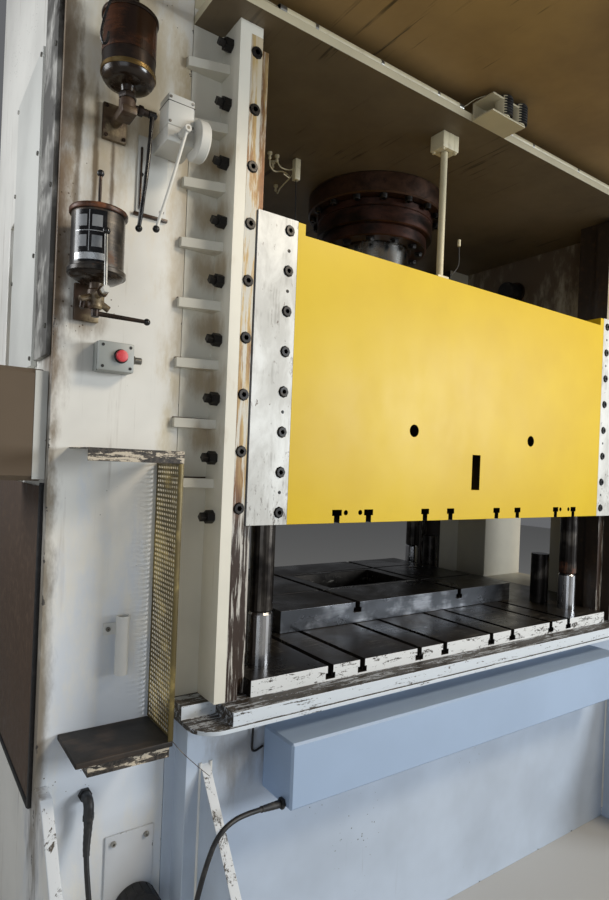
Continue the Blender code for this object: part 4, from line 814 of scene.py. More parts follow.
def grown(name, tree, mesh, body, smooth=35, **sizes):
    """Runs a geometry tree on a mesh of points or edges and keeps the result as one plain piece."""
    ob = bpy.data.objects.new(name, mesh)
    scene.collection.objects.link(ob)
    step = ob.modifiers.new("grow", "NODES")
    step.node_group = tree
    for item in tree.interface.items_tree:
        if item.item_type == "SOCKET" and item.in_out == "INPUT" and item.name in sizes:
            step[item.identifier] = sizes[item.name]
    made = applied(ob)
    bpy.data.objects.remove(ob)
    made.name = name
    return finish_piece(name, made, [sizes["Finish"]], body, smooth=smooth)


def points_mesh(name, places):
    """Loose points, each with the way that its fastener faces."""
    mesh = bpy.data.meshes.new(name)
    mesh.from_pydata([tuple(p) for p, way in places], [], [])
    ways = mesh.attributes.new("way", "FLOAT_VECTOR", "POINT")
    for item, (p, way) in zip(ways.data, places):
        item.vector = way
    return mesh


def screws(name, places, radius, height, socket, mat, body="frame"):
    """A piece of socket screws, one for each (place, way)."""
    spots = points_mesh(name + "_places", places)
    grown(name, CAP_SCREW, spots, body, Radius=radius, Height=height, Socket=socket, Finish=mat)


def path_mesh(name, lines):
    """Edges along each line of points."""
    points, edges = [], []
    for line in lines:
        start = len(points)
        points += [tuple(p) for p in line]
        edges += [(start + i, start + i + 1) for i in range(len(line) - 1)]
    mesh = bpy.data.meshes.new(name)
    mesh.from_pydata(points, edges, [])
    return mesh


# The press's own finishes

ochre_dirt = srgb(170, 148, 104)
brown_dirt = srgb(104, 80, 52)
left_block = ((-1.427, upright_front, 0.0), (-1.100, -upright_front, 3.525))
upright_stains_and_painted_light = [
    # The first two patches are painted light: a cool daylight tint over the lower part and a warm lamplight
    # tint over the upper part.
    ((-1.26, upright_front, 0.75), (0.40, 0.20, 0.75), srgb(205, 214, 227), 0.75),
    ((-1.26, upright_front, 2.55), (0.30, 0.20, 0.55), srgb(214, 190, 140), 0.40),
    ((-1.425, upright_front, 2.10), (0.022, 0.20, 0.62), srgb(92, 70, 44), 0.75),
    ((-1.425, upright_front, 0.95), (0.016, 0.20, 0.50), srgb(92, 70, 44), 0.60),
    ((-1.425, upright_front, 2.3), (0.055, 0.08, 1.2), brown_dirt, 0.75),
    ((-1.425, upright_front, 1.0), (0.032, 0.08, 0.9), srgb(120, 108, 86), 0.7),
    ((-1.33, upright_front, 2.32), (0.10, 0.05, 0.22), srgb(150, 128, 92), 0.45),
    ((-1.23, upright_front, 2.55), (0.14, 0.05, 0.30), ochre_dirt, 0.5),
    ((-1.09, upright_front, 2.15), (0.09, 0.06, 0.75), ochre_dirt, 0.55),
    ((-1.12, upright_front, 1.35), (0.05, 0.06, 0.60), srgb(196, 184, 150), 0.6),
    ((-1.36, upright_front, 1.88), (0.07, 0.05, 0.07), srgb(110, 90, 62), 0.6),
    ((-1.345, upright_front, 2.26), (0.010, 0.05, 0.30), srgb(96, 76, 48), 0.8),
    ((-1.302, upright_front, 2.22), (0.008, 0.05, 0.26), srgb(84, 64, 40), 0.8),
    ((-1.385, upright_front, 2.20), (0.012, 0.05, 0.55), srgb(90, 72, 48), 0.75),
]
white = srgb(231, 229, 222)
cool_white = srgb(188, 200, 216)
upright_paint = enamel("upright white", white, left_block, dirt=brown_dirt, runs=0.55, chips=0.48,
                       reach=0.012, specks=0.3, stains_and_painted_light=upright_stains_and_painted_light)
# Its one patch is painted shade: dark brown over the upper part of the right upright's inner wall.
far_paint = enamel("right upright cream", srgb(196, 188, 168),
                   ((1.1, upright_front, 0), (1.427, -upright_front, 3.525)), dirt=brown_dirt, runs=0.3,
                   chips=0.3, specks=0.1, stains_and_painted_light=[((1.1, 0, 2.65), (0.05, 0.9, 0.55), srgb(82, 64, 46),
                                                   0.92)])
bed_paint = enamel("bed white", cool_white, ((-1.0997, -0.585, 0.0), (1.0997, 0.585, 0.857)),
                   dirt=srgb(96, 92, 84), runs=0.34, chips=0.4, reach=0.014, specks=0.2,
                   stains_and_painted_light=[((-0.9, -0.585, 0.80), (0.16, 0.05, 0.20), srgb(110, 96, 74), 0.5)])
gusset_paint = trodden_ledge("gusset edge white", srgb(208, 212, 216), 0.36, (26, 26, 12))
left_way = ((-1.1183, -0.615, 0.905), (-0.943, -0.405, 2.7247))
carrier_paint = enamel("carrier white", srgb(228, 224, 210), left_way, dirt=srgb(150, 128, 88), runs=0.32,
                       chips=0.45, reach=0.008, size=70.0, specks=0.15,
                       stains_and_painted_light=[((-1.03, -0.53, z + 0.03), (0.07, 0.10, 0.06), srgb(160, 136, 96), 0.7)
                               for z in screw_rows[1:7]])
crown_paint = enamel("crown cream", srgb(206, 196, 166), ((-1.0997, -0.675, 2.725), (1.0997, 0.675, 2.75)),
                     dirt=srgb(110, 92, 60), runs=0.2, chips=0.35, reach=0.006, specks=0.1)
# Undersides: the cream paint darkened to brown as painted shade, with dark streaks.
underside_painted_shade = streaked_painted_shade_underside("crown underside painted shade", srgb(112, 98, 76), srgb(88, 76, 58))
tank_underside_painted_shade = streaked_painted_shade_underside("tank underside painted shade", srgb(156, 128, 84), srgb(122, 98, 64))
tube_paint = plain_coat("tube cream", srgb(214, 204, 172), 0.4, srgb(120, 100, 66), 0.25)
box_paint = enamel("cover box blue white", srgb(162, 183, 211),
                   ((-0.835, -0.735, 0.628), (0.835, -0.585, 0.807)), dirt=srgb(130, 128, 124), runs=0.12,
                   chips=0.14, reach=0.004, specks=0.06, tone=0.04)
side_paint = enamel("side box white", srgb(214, 214, 208),
                    ((-1.617, -0.49, 1.485), (-1.427, -0.22, 1.755)), dirt=brown_dirt, runs=0.35,
                    chips=0.4, reach=0.008, specks=0.2)
side_brown = enamel("side box front brown", srgb(104, 90, 74),
                    ((-1.617, -0.49, 1.485), (-1.4405, -0.22, 1.755)), dirt=srgb(62, 50, 40), runs=0.4,
                    chips=0.3, reach=0.006, specks=0.3, rough=0.34)
rack_paint = trodden_ledge("rack chipped white", srgb(196, 184, 164), 0.78, (12, 50, 60))
speckled_grey = worn_steel("speckled grey", srgb(88, 86, 82), srgb(176, 174, 168), rusty=0.3,
                           rust=srgb(40, 36, 32), rough=0.6, metal=0.1, spread=(60, 60, 20), scratch=0.5)
# Painted shade: a dark brown plate on the left upright's lower outer side.
dark_panel_painted_shade = plain_coat("dark panel painted shade", srgb(78, 62, 50), 0.5, srgb(120, 98, 78), 0.35)
slide_paint = slide_enamel(((-0.9, -0.615, 1.378), (0.9, 0.615, 2.237)))
rail_steel = scraped_rail()
# Dark brown for the inner sides of rails and carriers: oily steel on the rails, and painted shade on both.
side_steel_and_painted_shade = plain_coat("rail side and painted shade", srgb(46, 36, 28), 0.4, srgb(96, 70, 44), 0.4)
strip_steel = scuffed_strip()
table_steel = oily_table()
edge_paint = trodden_ledge("table edge white", srgb(222, 224, 224), 0.34, (14, 40, 60))
ledge_paint = trodden_ledge("ledge grime", srgb(176, 182, 190), 0.80, (7, 60, 60))
ledge_front = trodden_ledge("ledge front white", srgb(206, 214, 222), 0.22, (9, 30, 60))
post_steel = worn_steel("post steel", srgb(34, 30, 28), srgb(92, 86, 80), rusty=0.05, rough=0.34)
plate_steel = worn_steel("die plate steel", srgb(66, 68, 72), srgb(126, 128, 132), rusty=0.1,
                         spread=(8, 8, 60))
plunger_chrome = chrome("plunger chrome")
ram_chrome = chrome("ram chrome", srgb(190, 190, 186), srgb(70, 62, 50), 0.5)
flange_bronze = oxide_bronze("flange bronze", srgb(36, 24, 17), srgb(78, 52, 36))
gland_bronze = oxide_bronze("gland bronze", srgb(30, 20, 16), srgb(76, 44, 32))
screw_black = plain_coat("screw black", srgb(26, 24, 23), 0.34, srgb(90, 80, 66), 0.35, metal=0.4)
bolt_black = plain_coat("adjuster black", srgb(24, 22, 22), 0.4, srgb(70, 60, 48), 0.3, metal=0.3)
guard_gold = worn_steel("guard gold", srgb(92, 80, 46), srgb(164, 146, 92), rust=srgb(80, 64, 34),
                        rusty=0.2, rough=0.42, metal=0.4, spread=(60, 60, 60), scratch=0.2)
shelf_board = worn_steel("shelf board", srgb(24, 20, 17), srgb(62, 50, 40), rusty=0.1, rough=0.55,
                         metal=0.0, spread=(5, 120, 120), scratch=0.5, bumps=0.4)
rubber = plain_coat("cable rubber", srgb(24, 24, 26), 0.48, srgb(110, 106, 100), 0.25)
# Near black: small dark parts and oily steel, with painted shade in holes, slots, gaps and sockets.
near_black_parts_and_painted_shade = plain_coat("near black parts and painted shade", srgb(18, 15, 12), 0.4, srgb(60, 48, 34), 0.3)


# Frame


def underneath(spot, way):
    """0 on the underside, which gets the brown finish of painted shade, 1 elsewhere."""
    return int(way.z > -0.5)


def in_front(spot, way):
    """1 on a face that looks forward, 0 elsewhere."""
    return int(way.y < -0.5)


def gusset_edge(spot, way):
    """1 on the front edge of a foot gusset, 0 elsewhere."""
    out = abs(spot.x)
    on_gusset = out > 1.39 or 0.99 < out < 1.03
    return int(on_gusset and way.y < -0.3 and spot.y < -0.53 and spot.z < 0.76)


def frame_pieces():
    """Uprights, bed and crown, with the gussets' worn front edges."""
    dressed("left_upright", "frame", [upright_paint, gusset_paint], 0.003, gusset_edge)
    dressed("right_upright", "frame", [far_paint, gusset_paint], 0.003, gusset_edge)
    dressed("bed", "frame", [bed_paint, gusset_paint], 0.002, gusset_edge)
    # The undersides of the crown and its tank get darker brown as painted shade.
    dressed("crown", "frame", [underside_painted_shade, crown_paint], 0.002, underneath)
    dressed("crown_tank", "frame", [tank_underside_painted_shade, crown_paint], 0.003, underneath)
    dressed("front_box", "frame", [box_paint], 0)
    dressed("side_cover_box", "frame", [side_paint, side_brown], 0, in_front)


def rib_level(rib):
    """Where a carrier's rib stands: a little wider apart than the rail's screws."""
    return 2.131 + (rib - 2.115) * 1.047


def bolt_level(row):
    """Where a carrier's adjusting bolt stands, for one of the rail's screws."""
    return 2.196 + (row - 2.192) * 1.039


def at_bolts(spot):
    """Whether a point lies as far out in front or behind as the adjusting bolts."""
    return abs(abs(spot.y) - bolt_line) < 0.026


def thin_rib(spot):
    """A point of a carrier with its rib thinned and tapered, and its adjusting bolts screwed in."""
    thinner, tapered_to = 0.78, 0.528
    bolt_root, shorter, smaller = 1.034, 0.34, 0.8
    out = abs(spot.x)
    if out < 1.0118 or abs(spot.y) < 0.5119:
        return spot
    side, end = math.copysign(1, spot.x), math.copysign(1, spot.y)
    rib = min(screw_rows, key=lambda z: abs(z + rib_offset - spot.z)) + rib_offset
    if abs(spot.z - rib) < 0.0165 and abs(spot.y) < 0.5625:
        y = end * tapered_to if out > 1.05 and abs(spot.y) > 0.55 else spot.y
        return Vector((spot.x, y, rib_level(rib) + (spot.z - rib) * thinner))
    if out > 1.035 and at_bolts(spot):
        out = bolt_root + (out - bolt_root) * shorter
    row = min(screw_rows, key=lambda z: abs(z - spot.z))
    if abs(row - spot.z) < 0.027 and at_bolts(spot):
        y = end * bolt_line + (spot.y - end * bolt_line) * smaller
        return Vector((side * out, y, bolt_level(row) + (spot.z - row) * smaller))
    return spot


def carrier_finish(spot, way):
    """0 for the paint, 1 on an adjusting bolt, 2 on the inner side, dark brown as painted shade."""
    if way.x * spot.x < -0.5:
        return 2
    near = min(abs(spot.z - bolt_level(z)) for z in screw_rows) < 0.022
    return int(near and abs(spot.x) > 1.0125 and at_bolts(spot))


def carriers():
    """Guide carriers with thin ribs and black adjusting bolts."""
    for where in corners:
        dressed(where + "_carrier", "frame", [carrier_paint, bolt_black, side_steel_and_painted_shade], 0.0015,
                carrier_finish, shape=thin_rib)


def guides():
    """Rails and wear strips, with their socket screws and pins."""
    for where in corners:
        rail = coat(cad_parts[where + "_rail"].data, [rail_steel, side_steel_and_painted_shade])
        inward = 1 if where.endswith("left") else -1
        # The rails' inner sides take the dark finish: oily steel, darkened further as painted shade.
        for face in rail.polygons:
            face.material_index = int(face.normal.x * inward > 0.5)
        coat(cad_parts[where + "_wear_strip"].data, [strip_steel])
    rail_x, strip_x, strip_face = 0.9605, 0.833, 0.615
    places = [((s * rail_x, e * rail_face, z), (0, e, 0)) for s, e in four_ways for z in screw_rows]
    screws("rail_screws", places, 0.0155, 0.013, 0.0075, screw_black)
    places = [((s * strip_x, e * rail_face, z), (0, e, 0)) for s, e in four_ways for z in strip_rows]
    screws("strip_screws", places, 0.0145, 0.013, 0.007, screw_black, "slide_unit")
    levels = [(strip_rows[i] + strip_rows[i + 1]) / 2 for i in (0, 2, 5, 6)]
    places = [((s * strip_x, e * strip_face, z), (0, e, 0)) for s, e in four_ways for z in levels]
    screws("strip_pins", places, 0.0050, 0.0004, 0.002, screw_black, "slide_unit")


def slide_finish(spot, way):
    """1 in the slots and holes and on the underside, near black as painted shade, 0 for the yellow."""
    if spot.y > -0.6149 and abs(way.y) < 0.5 and abs(spot.x) < 0.89 and 1.5 < spot.z < 1.9:
        return 1
    if way.z < -0.5 or (spot.z < 1.42 and abs(way.y) < 0.5 and abs(spot.x) < 0.7):
        return 1
    return 0


def bolster_finish(spot, way):
    """0 for the oily top, 1 on the painted front edge, 2 on the stop blocks."""
    if way.y < -0.5 and spot.z < table + 0.001 and spot.y < -0.6:
        return 1
    return 2 if spot.z > table + 0.01 else 0


def die_plate_finish(spot, way):
    """1 on the ground faces that look forward or back near its front, 0 for the oily rest."""
    return int(abs(way.y) > 0.5 and spot.y < -0.2)


def circle_places(count, radius, level):
    """Places on a circle round the ram, for fasteners that face down."""
    turns = [2 * math.pi * (i + 0.5) / count for i in range(count)]
    return [((radius * math.cos(t), radius * math.sin(t), level), (0, 0, -1)) for t in turns]


def working_parts():
    """Slide, posts, plungers, table and die plate."""
    dressed("slide", "slide_unit", [slide_paint, near_black_parts_and_painted_shade], 0.0012, slide_finish)
    for where in corners:
        coat(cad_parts[where + "_thrust_post"].data, [post_steel])
        coat(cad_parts[where + "_plunger"].data, [plunger_chrome])
    dressed("bolster", "frame", [table_steel, edge_paint, post_steel], 0.0015, bolster_finish)
    dressed("die_plate", "frame", [table_steel, plate_steel], 0.002, die_plate_finish)
    dressed("bed_ledge", "frame", [ledge_paint, ledge_front], 0.002, in_front)


def cylinder():
    """Main cylinder's flange, its gland with the screws, and the ram with its clamp flange."""
    sides = 96
    flange, bore = 0.294, 0.1545
    low, high = crown_base - 0.085, 3.615
    barrel = [(0, high), (0.225, high), (0.235, high - 0.01), (0.235, under_crown), (0.290, under_crown)]
    barrel += [(flange, crown_base - 0.006), (flange, low + 0.006), (0.289, low)]
    barrel += [(bore, low), (bore, low + 0.3), (0, low + 0.3)]
    bm = bmesh.new()
    add_turned(bm, barrel, sides)
    stand_in("main_cylinder", bm, [flange_bronze])
    top = low - gap
    step = top - 0.098
    nose = step - 0.046
    ring = [(0, top), (0.248, top), (0.252, top - 0.004), (0.252, top - 0.030), (0.248, top - 0.033)]
    ring += [(0.252, top - 0.036), (0.252, step + 0.004), (0.248, step), (0.228, step),
             (0.228, nose + 0.004)]
    ring += [(0.224, nose), (0.166, nose), (0.160, nose + 0.006), (0.1542, nose + 0.006)]
    ring += [(0.1542, nose + 0.12), (0, nose + 0.12)]
    bm = bmesh.new()
    add_turned(bm, ring, sides)
    stand_in("gland_ring", bm, [gland_bronze])
    screws("flange_screws", circle_places(16, 0.273, low - 0.006), 0.0155, 0.018, 0.008, screw_black)
    spots = points_mesh("gland_screw_places", circle_places(12, 0.196, nose - 0.006))
    grown("gland_screws", HEX_BOLT, spots, "frame", Across=0.028, Height=0.012, Thread=0.002,
          Finish=screw_black)
    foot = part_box("ram")[0][2]
    rod = [(0, 3.325), (0.153, 3.325), (0.153, foot + 0.036), (0.211, foot + 0.036), (0.215, foot + 0.032)]
    rod += [(0.215, foot), (0, foot)]
    bm = bmesh.new()
    add_turned(bm, rod, sides)
    stand_in("ram", bm, [ram_chrome], "slide_unit")


def tool_rack():
    """The perforated guard with its folded edge, the top bar, the board and its bracket."""
    pitch, back, front = 0.012, -1.1545, -1.1525
    low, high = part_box("rack_guard")
    rows, columns = int((high[2] - low[2]) / pitch), int((high[1] - low[1] - 0.006) / pitch)
    z0 = (low[2] + high[2] - rows * pitch) / 2 + pitch / 2
    y0 = (low[1] + high[1] - columns * pitch) / 2 + pitch / 2
    cells = [(y0 + pitch * i, z0 + pitch * k) for i in range(columns) for k in range(rows)]
    places = [(((back + front) / 2, y, z), (-1, 0, 0)) for y, z in cells]
    sheet = grown("guard_sheet", PERFORATED, points_mesh("guard_cells", places), "frame", smooth=20,
                  Cell=(pitch, pitch, 0.002), Hole=0.0049, Finish=guard_gold)
    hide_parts("rack_guard")
    bm = bmesh.new()
    near, far = y0 - pitch / 2, y0 + pitch * (columns - 0.5)
    bottom, top = z0 - pitch / 2, z0 + pitch * (rows - 0.5)
    upright_strips = [((low[1], low[2]), (near, high[2])), ((far, low[2]), (high[1], high[2]))]
    level_strips = [((near, low[2]), (far, bottom)), ((near, top), (far, high[2]))]
    for first, last in upright_strips + level_strips:
        add_block(bm, (back, *first), (front, *last), 0, 0.0004)
    add_block(bm, (-1.165, low[1], low[2]), (back, low[1] + 0.003, high[2]), 0, 0.0006)
    piece("guard_frame", bm, [guard_gold])
    dressed("rack_top", "frame", [rack_paint], 0.001)
    dressed("rack_bracket", "frame", [rack_paint], 0.001)
    dressed("rack_shelf", "frame", [shelf_board], 0.003)


# Fittings on the left upright

oiler_brown = worn_steel("oiler brown", srgb(40, 24, 14), srgb(92, 54, 32), rust=srgb(116, 66, 32),
                         rusty=0.3, rough=0.3, metal=0.3, spread=(30, 30, 220), scratch=0.3)
oiler_grey = worn_steel("oiler grey", srgb(40, 36, 32), srgb(92, 84, 74), rust=srgb(96, 66, 42),
                        rusty=0.25, rough=0.3, metal=0.4, spread=(30, 30, 220), scratch=0.3)
oiler_dark = worn_steel("oiler dark", srgb(36, 26, 20), srgb(78, 58, 44), rusty=0.15, rough=0.36,
                        metal=0.5, spread=(30, 30, 200), scratch=0.3)
bowl_dark = plain_coat("oil bowl", srgb(34, 24, 16), 0.2, srgb(80, 60, 40), 0.3)
rim_brass = worn_steel("brass rim", srgb(120, 98, 60), srgb(196, 172, 120), rusty=0.1, rough=0.3,
                       metal=0.9, spread=(40, 40, 300))
cast_brass = worn_steel("pump casting", srgb(66, 50, 34), srgb(150, 134, 104), rust=srgb(64, 38, 20),
                        rusty=0.5, rough=0.5, metal=0.3, spread=(50, 50, 50), scratch=0.3, bumps=0.4)
zinc = worn_steel("dull zinc", srgb(120, 118, 112), srgb(196, 194, 188), rusty=0.12, rough=0.36, metal=0.8,
                  spread=(120, 120, 12))
pane_black = plain_coat("gauge front", srgb(16, 16, 18), 0.16, srgb(60, 60, 60), 0.15)
pane_grey = plain_coat("gauge panes", srgb(132, 134, 136), 0.3, srgb(90, 88, 84), 0.3)
pane_silver = plain_coat("gauge band", srgb(196, 198, 200), 0.26, srgb(120, 118, 112), 0.3, metal=0.6)
switch_white = enamel("switch white", srgb(212, 210, 202),
                      ((-1.2023, -0.6153, 2.378), (-1.132, -0.555, 2.456)), dirt=brown_dirt, runs=0.25,
                      chips=0.4, reach=0.004, size=130.0, specks=0.2)
estop_grey = enamel("stop box grey", srgb(166, 170, 166), ((-1.332, -0.564, 1.76), (-1.244, wall, 1.832)),
                    dirt=srgb(90, 84, 76), runs=0.2, chips=0.3, reach=0.004, size=130.0, specks=0.15)
stop_red = plain_coat("stop button red", srgb(206, 62, 70), 0.35, srgb(240, 170, 170), 0.35)
knob_black = plain_coat("ball knob black", srgb(20, 19, 19), 0.25, srgb(70, 64, 58), 0.3)
pipe_white = enamel("tube holder white", srgb(222, 221, 216),
                    ((-1.256, -0.557, 1.002), (-1.222, -0.524, 1.15)), dirt=brown_dirt, runs=0.2,
                    chips=0.3, reach=0.003, size=140.0, specks=0.15)
cover_paint = enamel("access cover white", srgb(206, 211, 218),
                     ((-1.253, -0.518, 0.19), (-1.126, wall, 0.578)), dirt=srgb(90, 86, 80), runs=0.35,
                     chips=0.45, reach=0.004, specks=0.15)
knob_radius = 0.0085


def stack(bm, sections, place, sides=48):
    """Turned forms on one axis, each (finish number, profile)."""
    for mat, profile in sections:
        add_turned(bm, profile, sides, place, mat)


def upper_oiler():
    """The upper oiler: its cup, bail, pump casting and long lever."""
    x, y, low = -1.303, -0.615, 2.412
    pump_low = low - gap
    axle = pump_low - 0.030
    place = Matrix.Translation((x, y, low))
    bm = bmesh.new()
    stack(bm, [
        (2, [(0, 0), (0.016, 0), (0.018, 0.012), (0.040, 0.0165), (0.0545, 0.0215), (0.0600, 0.0290),
             (0.0615, 0.036), (0, 0.036)]),
        (3, [(0, 0.0358), (0.0625, 0.0358), (0.0638, 0.037), (0.0638, 0.0455), (0.0625, 0.047),
             (0, 0.047)]),
        (1, [(0, 0.0468), (0.0612, 0.0468), (0.0612, 0.078), (0, 0.078)]),
        (0, [(0, 0.0778), (0.0622, 0.0778), (0.0622, 0.168), (0, 0.168)]),
        (1, [(0, 0.1678), (0.0640, 0.1678), (0.0655, 0.1695), (0.0655, 0.1745), (0.0640, 0.1765),
             (0.058, 0.178), (0.024, 0.184), (0, 0.184)]),
        (2, [(0, 0.1835), (0.022, 0.1835), (0.022, 0.190), (0.016, 0.194), (0.016, 0.216), (0.0185, 0.218),
             (0.0185, 0.232), (0.016, 0.235), (0, 0.235)]),
    ], place)
    stand_in("oiler_a_cup", bm, [oiler_brown, oiler_dark, bowl_dark, rim_brass])
    bm = bmesh.new()
    route = [(-1.352, -0.657, 2.606), (-1.360, -0.662, 2.585), (-1.3673, -0.664, 2.566),
             (-1.3765, -0.660, 2.529), (-1.3800, -0.655, 2.498), (-1.3745, -0.653, 2.479),
             (-1.3660, -0.654, 2.487), (-1.3640, -0.656, 2.508)]
    add_tube(bm, smooth_route(route, 40), 0.0028, 10)
    piece("oiler_a_bail", bm, [knob_black])
    bm = bmesh.new()
    place = Matrix.Translation((x, y, pump_low))
    stack(bm, [
        (0, [(0, -0.060), (0.012, -0.060), (0.0155, -0.056), (0.0155, -0.048), (0.0195, -0.044),
             (0.0195, -0.020), (0.0165, -0.016),
             (0.0165, -0.010), (0.0135, -0.008), (0.0135, 0), (0, 0)]),
    ], place, 32)
    add_turned(bm, nut(0.0215, 0.011, 0.001), 6, place @ Matrix.Translation((0, 0, -0.015)), 1)
    add_rod(bm, (x, -0.610, 2.381), (x, pump_plate, 2.381), 0.013, 20, 0)
    add_block(bm, (x - 0.030, pump_plate, 2.337), (x + 0.030, wall, 2.427), 0, 0.003)
    add_block(bm, (-1.322, -0.642, 2.353), (-1.286, -0.585, 2.372), 0, 0.004)
    add_rod(bm, (-1.300, y, axle), (-1.2515, y, axle), 0.0085, 20, 1)
    add_turned(bm, nut(0.0125, 0.011), 6, along((-1.276, y, axle), (-1.2, y, axle)), 1)
    for bolt_z in (2.346, 2.418):
        for bolt_x in (-1.325, -1.281):
            add_rod(bm, (bolt_x, pump_plate, bolt_z), (bolt_x, pump_plate - 0.004, bolt_z), 0.0045, 12, 1,
                    0.0008)
    stand_in("oiler_a_pump", bm, [cast_brass, oiler_dark])
    bm = bmesh.new()
    pivot = Vector((-1.2507, y, axle))
    root = pivot + Vector((0.009, 0, 0))
    add_rod(bm, pivot, pivot + Vector((0.018, 0, 0)), 0.009, 24, 0)
    steps = 24
    shares = [i / steps for i in range(steps + 1)]
    route = [root + Vector((-0.022 * t, -0.010 * math.sin(math.pi * t), -0.280 * t)) for t in shares]
    add_tube(bm, route, 0.0055, 14, 0, [0.0052 + 0.0003 * math.sin(i) for i in range(steps + 1)])
    add_ball(bm, route[-1], knob_radius)
    add_rod(bm, pivot + Vector((0.018, 0, 0)), pivot + Vector((0.021, 0, 0)), 0.005, 6, 0, 0.0005)
    stand_in("oiler_a_lever", bm, [knob_black], "oiler_a_lever_body")


def curved_panel(bm, centre, radius, start, stop, low, high, thickness, mat):
    """A plate bent round an upright cylinder, between two angles and two heights."""
    part = bmesh.new()
    steps = max(3, int(abs(stop - start) / 4))
    rings = []
    for r in (radius, radius + thickness):
        ring = []
        for i in range(steps + 1):
            a = math.radians(start + (stop - start) * i / steps)
            x, y = centre[0] + r * math.cos(a), centre[1] + r * math.sin(a)
            ring.append((part.verts.new((x, y, low)), part.verts.new((x, y, high))))
        rings.append(ring)
    inner, outer = rings
    for i in range(steps):
        part.faces.new((outer[i][0], outer[i + 1][0], outer[i + 1][1], outer[i][1]))
        part.faces.new((inner[i][0], inner[i][1], inner[i + 1][1], inner[i + 1][0]))
        part.faces.new((inner[i][1], outer[i][1], outer[i + 1][1], inner[i + 1][1]))
        part.faces.new((inner[i][0], inner[i + 1][0], outer[i + 1][0], outer[i][0]))
    for i in (0, steps):
        part.faces.new((inner[i][0], outer[i][0], outer[i][1], inner[i][1]))
    bmesh.ops.recalc_face_normals(part, faces=part.faces)
    join(bm, part, mat)


def lower_oiler():
    """The lower oiler: cup with its gauge front, pump casting, pull rod, lever and shut-off handle."""
    x, y, low = -1.354, -0.600, 1.954
    pane_radius, axle = 0.0608, low - 0.0303
    bm = bmesh.new()
    stack(bm, [
        (2, [(0, 0), (0.022, 0), (0.046, 0.004), (0.058, 0.011), (0.0605, 0.0157), (0, 0.0157)]),
        (1, [(0, 0.0155), (0.0648, 0.0155), (0.066, 0.017), (0.066, 0.026), (0.0648, 0.0275),
             (0, 0.0275)]),
        (1, [(0, 0.0273), (0.0603, 0.0273), (0.0603, 0.155), (0, 0.155)]),
        (0, [(0, 0.1548), (0.0645, 0.1548), (0.066, 0.157), (0.066, 0.164), (0.0645, 0.1665),
             (0.056, 0.168), (0.016, 0.172), (0, 0.172)]),
    ], Matrix.Translation((x, y, low)))
    curved_panel(bm, (x, y), 0.0600, -158, -88, low + 0.034, low + 0.150, 0.0012, 3)
    for a in (-153, -121):
        for z in (0.062, 0.108):
            curved_panel(bm, (x, y), pane_radius, a + 3, a + 24, low + z + 0.004, low + z + 0.030, 0.0008,
                         4)
    curved_panel(bm, (x, y), pane_radius, -124.6, -123.4, low + 0.056, low + 0.148, 0.0008, 5)
    curved_panel(bm, (x, y), pane_radius, -157, -89, low + 0.1015, low + 0.1030, 0.0008, 5)
    curved_panel(bm, (x, y), pane_radius, -157, -89, low + 0.038, low + 0.053, 0.0008, 5)
    stand_in("oiler_b_cup", bm, [oiler_brown, oiler_grey, bowl_dark, pane_black, pane_grey, pane_silver])
    bm = bmesh.new()
    place = Matrix.Translation((x, y, low - gap))
    stack(bm, [(0, [(0, -0.060), (0.013, -0.060), (0.017, -0.055), (0.017, -0.046), (0.0195, -0.042),
                    (0.0195, -0.018), (0.016, -0.014), (0.016, 0), (0, 0)])], place, 32)
    add_rod(bm, (x, y + 0.004, low - 0.031), (x, pump_plate, low - 0.031), 0.012, 20, 0)
    add_block(bm, (x - 0.030, pump_plate, low - 0.075), (x + 0.030, wall, low + 0.015), 0, 0.003)
    add_rod(bm, (x, y, axle), (x, y - 0.0672, axle), 0.009, 24, 0)
    add_turned(bm, nut(0.013, 0.012), 6, along((x, y - 0.050, axle), (x, y - 0.9, axle)), 1)
    add_rod(bm, (x - 0.012, y - 0.006, low - 0.034), (x - 0.038, y - 0.010, low - 0.046), 0.0085, 16, 0)
    add_rod(bm, (x - 0.030, y - 0.009, low - 0.043), (x - 0.034, y - 0.012, low - 0.066), 0.006, 14, 1)
    add_rod(bm, (x + 0.010, y - 0.004, low - 0.046), (x + 0.030, y - 0.006, low - 0.058), 0.008, 16, 0)
    stand_in("oiler_b_pump", bm, [cast_brass, oiler_dark])
    bm = bmesh.new()
    pivot = Vector((x, y - 0.0683, axle))
    root = pivot + Vector((0, -0.009, 0))
    add_rod(bm, pivot, pivot + Vector((0, -0.018, 0)), 0.009, 6, 1, 0.001)
    end = root + Vector((-0.003, 0, 0.130))
    add_rod(bm, root, end, 0.004, 16, 0)
    add_ball(bm, end, knob_radius, 2)
    stand_in("oiler_b_lever", bm, [zinc, switch_white, knob_black], "oiler_b_lever_body")
    bm = bmesh.new()
    lid = Vector((x, y, low + 0.172))
    knob = lid + Vector((0, 0, 0.086))
    add_rod(bm, lid - Vector((0, 0, 0.070)), knob, 0.004, 16, 0)
    add_ball(bm, knob, knob_radius, 1)
    stand_in("oiler_b_pull", bm, [oiler_dark, knob_black], "oiler_b_pull_body")
    bm = bmesh.new()
    top = Vector((x, y, low - 0.0606))
    add_rod(bm, top - Vector((0, 0, 0.018)), top, 0.009, 24, 0)
    start = top - Vector((0, 0, 0.009))
    end = start + Vector((0.125, 0, 0))
    add_rod(bm, start, end, 0.006, 16, 0, 0.001, 0.0048)
    add_ball(bm, end, knob_radius, 1)
    stand_in("oiler_b_cock", bm, [oiler_dark, knob_black], "oiler_b_cock_body")


